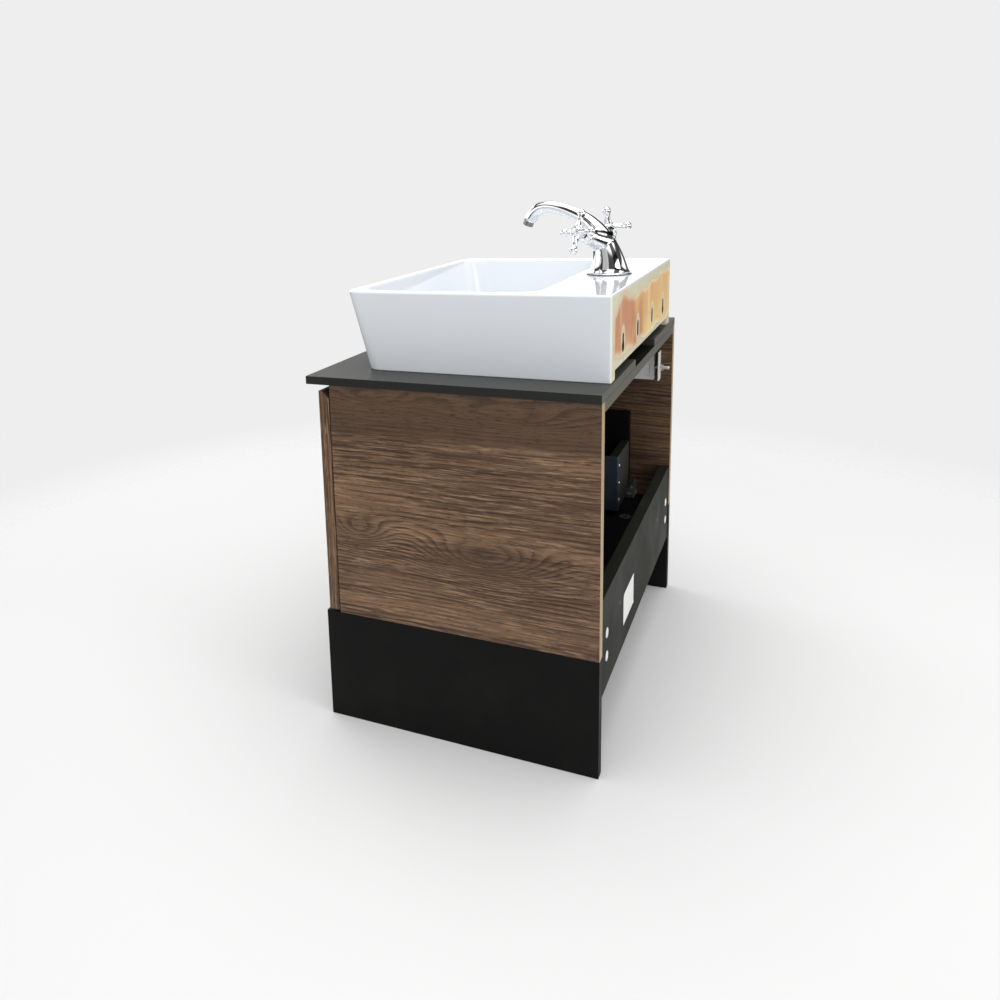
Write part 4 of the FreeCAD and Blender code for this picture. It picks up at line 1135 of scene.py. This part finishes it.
ARM_LEVEL, BUTTON_LEVEL, CROSS_VOXEL = 13.2 * MM, 20 * MM, 0.55 * MM
for side, axis in valve_axis.items():
    hub = hub_place[side]
    seat = hub + axis * (VALVE_SEAT - HUB_START)
    settle(lathe(f"bonnet_{side}_turned", BONNET, pointing(seat, axis), 64),
           f"bonnet_{side}", "chrome", smooth=40)

    middle = hub + axis * ARM_LEVEL
    corners = frame["nodes"][f"handle_{side}"].data.vertices
    farthest = max((vertex.co for vertex in corners), key=lambda place: (place - middle).length)
    across_axis = (farthest - middle) - (farthest - middle).dot(axis) * axis
    across_axis.normalize()
    arms = [lathe(f"arm_{number}", ARM, pointing(
        middle, Matrix.Rotation(number * math.pi / 2, 3, axis) @ across_axis), 32)
        for number in range(4)]
    boss = lathe("boss", BOSS, pointing(hub, axis))
    cross = joined(f"handle_{side}_cross", arms + [boss])
    modify(cross, "REMESH", mode="VOXEL", voxel_size=CROSS_VOXEL)
    modify(cross, "SMOOTH", factor=0.5, iterations=8)
    collar = lathe("collar", COLLAR, pointing(hub, axis), 64)
    settle(joined(f"handle_{side}_cross", [cross, collar]), f"handle_{side}", "chrome",
           smooth=45, weighted=False)

    rings = []
    for finish, profile in BUTTON.items():
        rings.append(lathe("button_ring", profile, pointing(hub + axis * BUTTON_LEVEL, axis)))
        give_finishes(rings[-1], finish)
    settle(joined(f"button_{side}", rings), f"handle_cap_{side}", smooth=40)
print("handles:", ", ".join(valve_axis))

# %% [markdown]
# ## The waste plug
#
# The plug that closes the bowl is a shallow chrome mushroom on a stem. Its
# rim is softly rolled, which a lathe does in one pass.

# %% Turn the plug
plug_low, plug_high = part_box("waste_plug")
reach, _, top = (plug_high - plug_low) / MM
reach /= 2
plug = lathe("plug_turned", [
    (0, 0), (3.2, 0), (4, 1.2), (4, top - 8), (reach - 4, top - 8), (reach - 1.2, top - 7),
    (reach - 0.2, top - 5.6), (reach, top - 4.6), (reach - 0.5, top - 3.4),
    (reach - 2.5, top - 2.4), (reach - 8, top - 1.1), (reach - 17, top - 0.2), (0, top),
], Matrix.Translation((waste_spot.x, waste_spot.y, plug_low.z)), 64)
settle(plug, "waste_plug", "chrome", smooth=50)
print("plug radius:", round(reach, 1), "mm")

# %% [markdown]
# ## Bent sheet steel
#
# The recess for the trap and the drawer's corner brackets are bent from
# sheet. A strip is drawn as one edge, extruded from bend to bend, then each
# bend is bevelled into a small radius and the sheet gets its thickness.

# %% Bend the recess and the brackets
SHEET, BEND = 1.5 * MM, 1.6 * MM


def bent_sheet(name, path, low, high):
    """Fold a strip along a path of (x, y) points, between two heights."""
    made = lone_point(name, (*path[0], low))
    bpy.ops.mesh.extrude_vertices_move(TRANSFORM_OT_translate={"value": (0, 0, high - low)})
    bpy.ops.mesh.select_mode(type="EDGE")
    bpy.ops.mesh.select_all(action="SELECT")
    for here, there in zip(path, path[1:]):
        step = (there[0] - here[0], there[1] - here[1], 0)
        bpy.ops.mesh.extrude_edges_move(TRANSFORM_OT_translate={"value": step})
    done()
    corners = [Vector(point) for point in path[1:-1]]
    round_edges(made, lambda a, b: abs(a.z - b.z) > (high - low) / 2
                and any((a.xy - corner).length < 0.1 * MM for corner in corners), BEND, 4)
    modify(made, "SOLIDIFY", thickness=SHEET, offset=0, use_even_offset=True)
    bpy.ops.object.mode_set(mode="EDIT")
    face_outwards()
    return made


half_sheet = SHEET / 2
wall_x, wing_x = back_low.x - half_sheet, bay_high.x
flange_y, front_y = bay_high.y - half_sheet, bay_low.y + half_sheet
recess = bent_sheet("trap_recess_sheet", [
    (-wing_x, flange_y), (-wall_x, flange_y), (-wall_x, front_y),
    (wall_x, front_y), (wall_x, flange_y), (wing_x, flange_y)], bay_low.z, bay_high.z)
settle(recess, "trap_recess", "lacquer")

BRACKET_WING, CLIP_WIDTH, CLIP_EASE = 40 * MM, 15 * MM, 1.5 * MM
bracket_low, bracket_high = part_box("front_brackets")
clip_low, clip_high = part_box("runner_clips")
brackets, clips = [], []
for sign in (1, -1):
    side_x, wing_end = bracket_high.x - half_sheet, bracket_high.x - BRACKET_WING
    brackets.append(bent_sheet("corner_bracket", [
        (sign * side_x, bracket_high.y), (sign * side_x, bracket_low.y + half_sheet),
        (sign * wing_end, bracket_low.y + half_sheet)], bracket_low.z, bracket_high.z))
    clip = mirrored_block("runner_clip", sign, (clip_high.x - CLIP_WIDTH, *clip_low.yz), clip_high)
    clips.append(round_edges(clip, every_edge, CLIP_EASE, 3))
settle(joined("corner_brackets", brackets), "front_brackets", "zinc")
settle(joined("runner_clips_moulded", clips), "runner_clips", "grey_plastic")
print("bent parts done; recess", round(2 * wing_x, 3), "m across its flanges")

# %% [markdown]
# ## Where the small solids are
#
# Screws, caps and pins come many to a node. To stand a detailed copy at each
# place, a throw-away copy of the node's mesh is merged, split into its loose
# parts and measured. The node itself is left as it came.


# %% Find each small solid
def solids_of(node):
    """The lowest and highest corners of each loose part of a node."""
    nothing_selected()
    copy = bpy.data.objects.new("measured_copy", frame["nodes"][node].data.copy())
    scene.collection.objects.link(copy)
    take(copy)
    bpy.ops.object.mode_set(mode="EDIT")
    bpy.ops.mesh.select_all(action="SELECT")
    bpy.ops.mesh.remove_doubles(threshold=0.005 * MM)
    bpy.ops.mesh.separate(type="LOOSE")
    bpy.ops.object.mode_set(mode="OBJECT")
    found = []
    for part in list(bpy.context.selected_objects):
        places = [vertex.co for vertex in part.data.vertices]
        found.append((Vector(min(place[axis] for place in places) for axis in range(3)),
                      Vector(max(place[axis] for place in places) for axis in range(3))))
        bpy.data.objects.remove(part)
    return sorted(found, key=lambda corners: tuple(round(value, 4) for value in corners[0]))


def stand_copies(name, pattern, places):
    """Copy a pattern piece to every place, then join the copies and drop the pattern."""
    copies = []
    for place in places:
        take(pattern)
        bpy.ops.object.duplicate(linked=False)
        copies.append(moved(bpy.context.object, place))
    bpy.data.objects.remove(pattern)
    return joined(name, copies)


# %% [markdown]
# ## Screws
#
# A pan-head screw is a turned shape with a cross punched into its head. It is
# modelled once for each fitting and copied to every place a screw shows. The
# screws that hold the slab are countersunk instead, with flat heads.

# %% Make and place the screws
HEAD_THICK, BLADE_HALF = 1.8 * MM, 0.45 * MM
UPSIDE_DOWN = Matrix.Rotation(math.pi, 4, "X")


def cross_recess(screw, face, reach, depth):
    """Punch a cross into a head whose face lies at a height."""
    low, high = face - depth, face + MM
    return carve(
        screw, block("blade", (-BLADE_HALF, -reach, low), (BLADE_HALF, reach, high)),
        block("blade", (-reach, -BLADE_HALF, low), (reach, BLADE_HALF, high)))


def pan_screw():
    """A screw that stands on the underside of its round head."""
    screw = lathe("pan_screw", [
        (0, -10.2), (0.5, -10.0), (1.75, -8.2), (1.75, 0), (3.3, 0), (3.6, 0.25), (3.55, 0.8),
        (3.2, 1.25), (2.4, 1.65), (1.4, 1.8), (0, 1.8)], steps=20)
    return cross_recess(screw, HEAD_THICK, 2.0 * MM, 1.1 * MM)


def flat_screw(length):
    """A countersunk screw of a length in millimetres, standing on its point."""
    screw = lathe("flat_screw", [
        (0, 0), (3.8, 0), (4, 0.3), (1.75, 3.9), (1.75, length - 2), (0.6, length),
        (0, length)], UPSIDE_DOWN, steps=20)
    return cross_recess(screw, 0, 2.2 * MM, 1.4 * MM)


def head_place(low, high):
    """Where a screw's head sits: one along X faces inwards, any other the wall."""
    size, middle = high - low, (low + high) / 2
    if size.x > size.y and size.x > size.z:
        facing_way = Vector((-1 if middle.x > 0 else 1, 0, 0))
    else:
        facing_way = Vector((0, 1, 0))
    outermost = middle + facing_way * abs(size.dot(facing_way)) / 2
    return pointing(outermost - facing_way * HEAD_THICK, facing_way, math.radians(25))


for node in ("recess_screws", "bracket_screws", "runner_screws"):
    places = [head_place(low, high) for low, high in solids_of(node)]
    settle(stand_copies(f"{node}_turned", pan_screw(), places), node, "zinc", smooth=40)
    print(node, len(places))

rail_screws = solids_of("slab_screws")
screw_length = (rail_screws[0][1].z - rail_screws[0][0].z) / MM
places = [Matrix.Translation((*((low + high) / 2).xy, low.z)) @ UPSIDE_DOWN
          for low, high in rail_screws]
settle(stand_copies("slab_screws_turned", flat_screw(screw_length), places), "slab_screws",
       "zinc", smooth=40)
print("slab_screws", len(places))

# %% [markdown]
# ## The wall hangers
#
# Each side panel carries a hanger: a white moulded housing, a plate, and a
# threaded stud with a nut. Housing and plate are cubes with rounded edges.
# The stud is turned with one groove for each turn of thread, which reads as
# a thread at this size, and the nut is a six-sided drum with eased corners.

# %% Make the hangers
PITCH, STUD_RADIUS, STUD_BORE = 1.25, 4 * MM, 4.4 * MM
DIMPLE_HALF, DIMPLE_DEEP, DIMPLE_INSET = 12 * MM, 1.2 * MM, 8 * MM
stud_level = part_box("hanger_studs")[0].z + STUD_RADIUS


def moulded(name, low, high, ease):
    return round_edges(block(name, low, high), every_edge, ease, 3)


def stud_hole(low, high, length):
    """A drum through the part between two corners, where its stud passes."""
    return drum("stud_hole", ((low.x + high.x) / 2, high.y, stud_level), STUD_BORE, length,
                24, True)


def thread_profile(length):
    """One groove for each turn of thread, along a length in millimetres."""
    profile = [(0, 0), (3.2, 0)]
    turn = 0.4
    while turn < length - 1.6:
        profile += [(4.0, turn + 0.35), (4.0, turn + 0.55), (3.35, turn + 1.0)]
        turn += PITCH
    return profile + [(3.2, length), (0, length)]


housings, plates, nuts, studs = [], [], [], []
for low, high in solids_of("hanger_housings"):
    inner = low.x if low.x > 0 else high.x
    middle_y = (low.y + high.y) / 2
    dimple = moulded(
        "dimple", (inner - DIMPLE_DEEP, middle_y - DIMPLE_HALF, low.z + DIMPLE_INSET),
        (inner + DIMPLE_DEEP, middle_y + DIMPLE_HALF, high.z - DIMPLE_INSET), 0.5 * MM)
    housings.append(carve(moulded("housing", low, high, 1.5 * MM), dimple,
                          stud_hole(low, high, 60 * MM)))
for low, high in solids_of("hanger_plates"):
    plates.append(carve(moulded("plate", low, high, 0.8 * MM), stud_hole(low, high, 20 * MM)))
for low, high in solids_of("hanger_nuts"):
    depth, flats = high.y - low.y, high.z - low.z
    nut = drum("nut", (0, 0, depth / 2), flats / math.sqrt(3), depth, 6)
    round_edges(nut, every_edge, 0.5 * MM, 2)
    carve(nut, drum("nut_bore", (0, 0, depth / 2), STUD_RADIUS, 30 * MM, 24))
    nuts.append(moved(nut, towards_wall(low, high, math.pi / 2)))
for low, high in solids_of("hanger_studs"):
    studs.append(lathe("stud", thread_profile((high.y - low.y) / MM), towards_wall(low, high), 24))
settle(joined("hanger_housings_moulded", housings), "hanger_housings", "white_plastic")
settle(joined("hanger_plates_moulded", plates), "hanger_plates", "white_plastic")
settle(joined("hanger_nuts_cut", nuts), "hanger_nuts", "zinc")
settle(joined("hanger_studs_threaded", studs), "hanger_studs", "zinc", smooth=50, weighted=False)
print("hangers:", len(housings))

# %% [markdown]
# ## Caps, pins and the label
#
# White domed caps hide the bolts in the rear rail, and two small pins sit
# between them. The blank label is a sheet of paper whose corners have begun
# to lift: a plane cut into a grid, with its far corners raised a little.

# %% Make the caps, the pins and the label
for node, finish in (("rail_caps", "white_plastic"), ("rail_pins", "grey_plastic")):
    domes = []
    for low, high in solids_of(node):
        radius, depth = (high.x - low.x) / 2 / MM, (high.y - low.y) / MM
        lip = min(0.5, depth / 3)
        domes.append(lathe("dome", [
            (0, 0), (radius - 0.3, 0), (radius, 0.2), (radius, depth - 2 * lip),
            (radius - 0.6 * lip, depth - lip), (radius - 2.5 * lip, depth - 0.3 * lip),
            (0, depth)], towards_wall(low, high), 32))
    settle(joined(f"{node}_domed", domes), node, finish, smooth=40)

label_low, label_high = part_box("blank_label")
label_size, label_middle = label_high - label_low, (label_low + label_high) / 2
CURL, PAPER_THICK = 0.5 * MM, 0.12 * MM
nothing_selected()
bpy.ops.mesh.primitive_grid_add(x_subdivisions=12, y_subdivisions=8, size=1,
                                location=(0, 0, 0), rotation=(math.pi / 2, 0, math.pi))
label = named("blank_label_paper")
label.scale = (label_size.x, label_size.z, 1)
label.location = (label_middle.x, label_low.y + 0.05 * MM, label_middle.z)
freeze(label)


def near_corner(place):
    across = abs(place.x - label_middle.x) / label_size.x
    up = abs(place.z - label_middle.z) / label_size.z
    return across + up > 0.93


pick(label, near_corner, "VERT")
bpy.ops.transform.translate(value=(0, CURL, 0))
done()
modify(label, "SOLIDIFY", thickness=PAPER_THICK, offset=1)
settle(label, "blank_label", "paper", weighted=False)
print("label:", round(label_size.x, 3), "by", round(label_size.z, 3))

# %% [markdown]
# ## Finishes for everything else
#
# Rails, dowels, bolts, gaskets and nuts keep the shapes they came with,
# which are right. Each takes the finish of its own material, which has the
# same name as the material's slot except where a table says otherwise.

# %% Finish the remaining nodes
FINISH_OF_SLOT = {"walnut": "walnut_side", "glazed_ceramic": "glaze", "zinc_steel": "zinc",
                  "drawer_steel": "lacquer"}
FINISH_OF_NODE = {"aerator": "knurled"}
kept = [node for node, solid in frame["nodes"].items() if not solid.hide_render]
for node in kept:
    finish = FINISH_OF_NODE.get(node, FINISH_OF_SLOT.get(SLOT_OF[node], SLOT_OF[node]))
    for slot in frame["nodes"][node].material_slots:
        slot.material = FINISH[finish]
print("nodes kept:", ", ".join(kept))
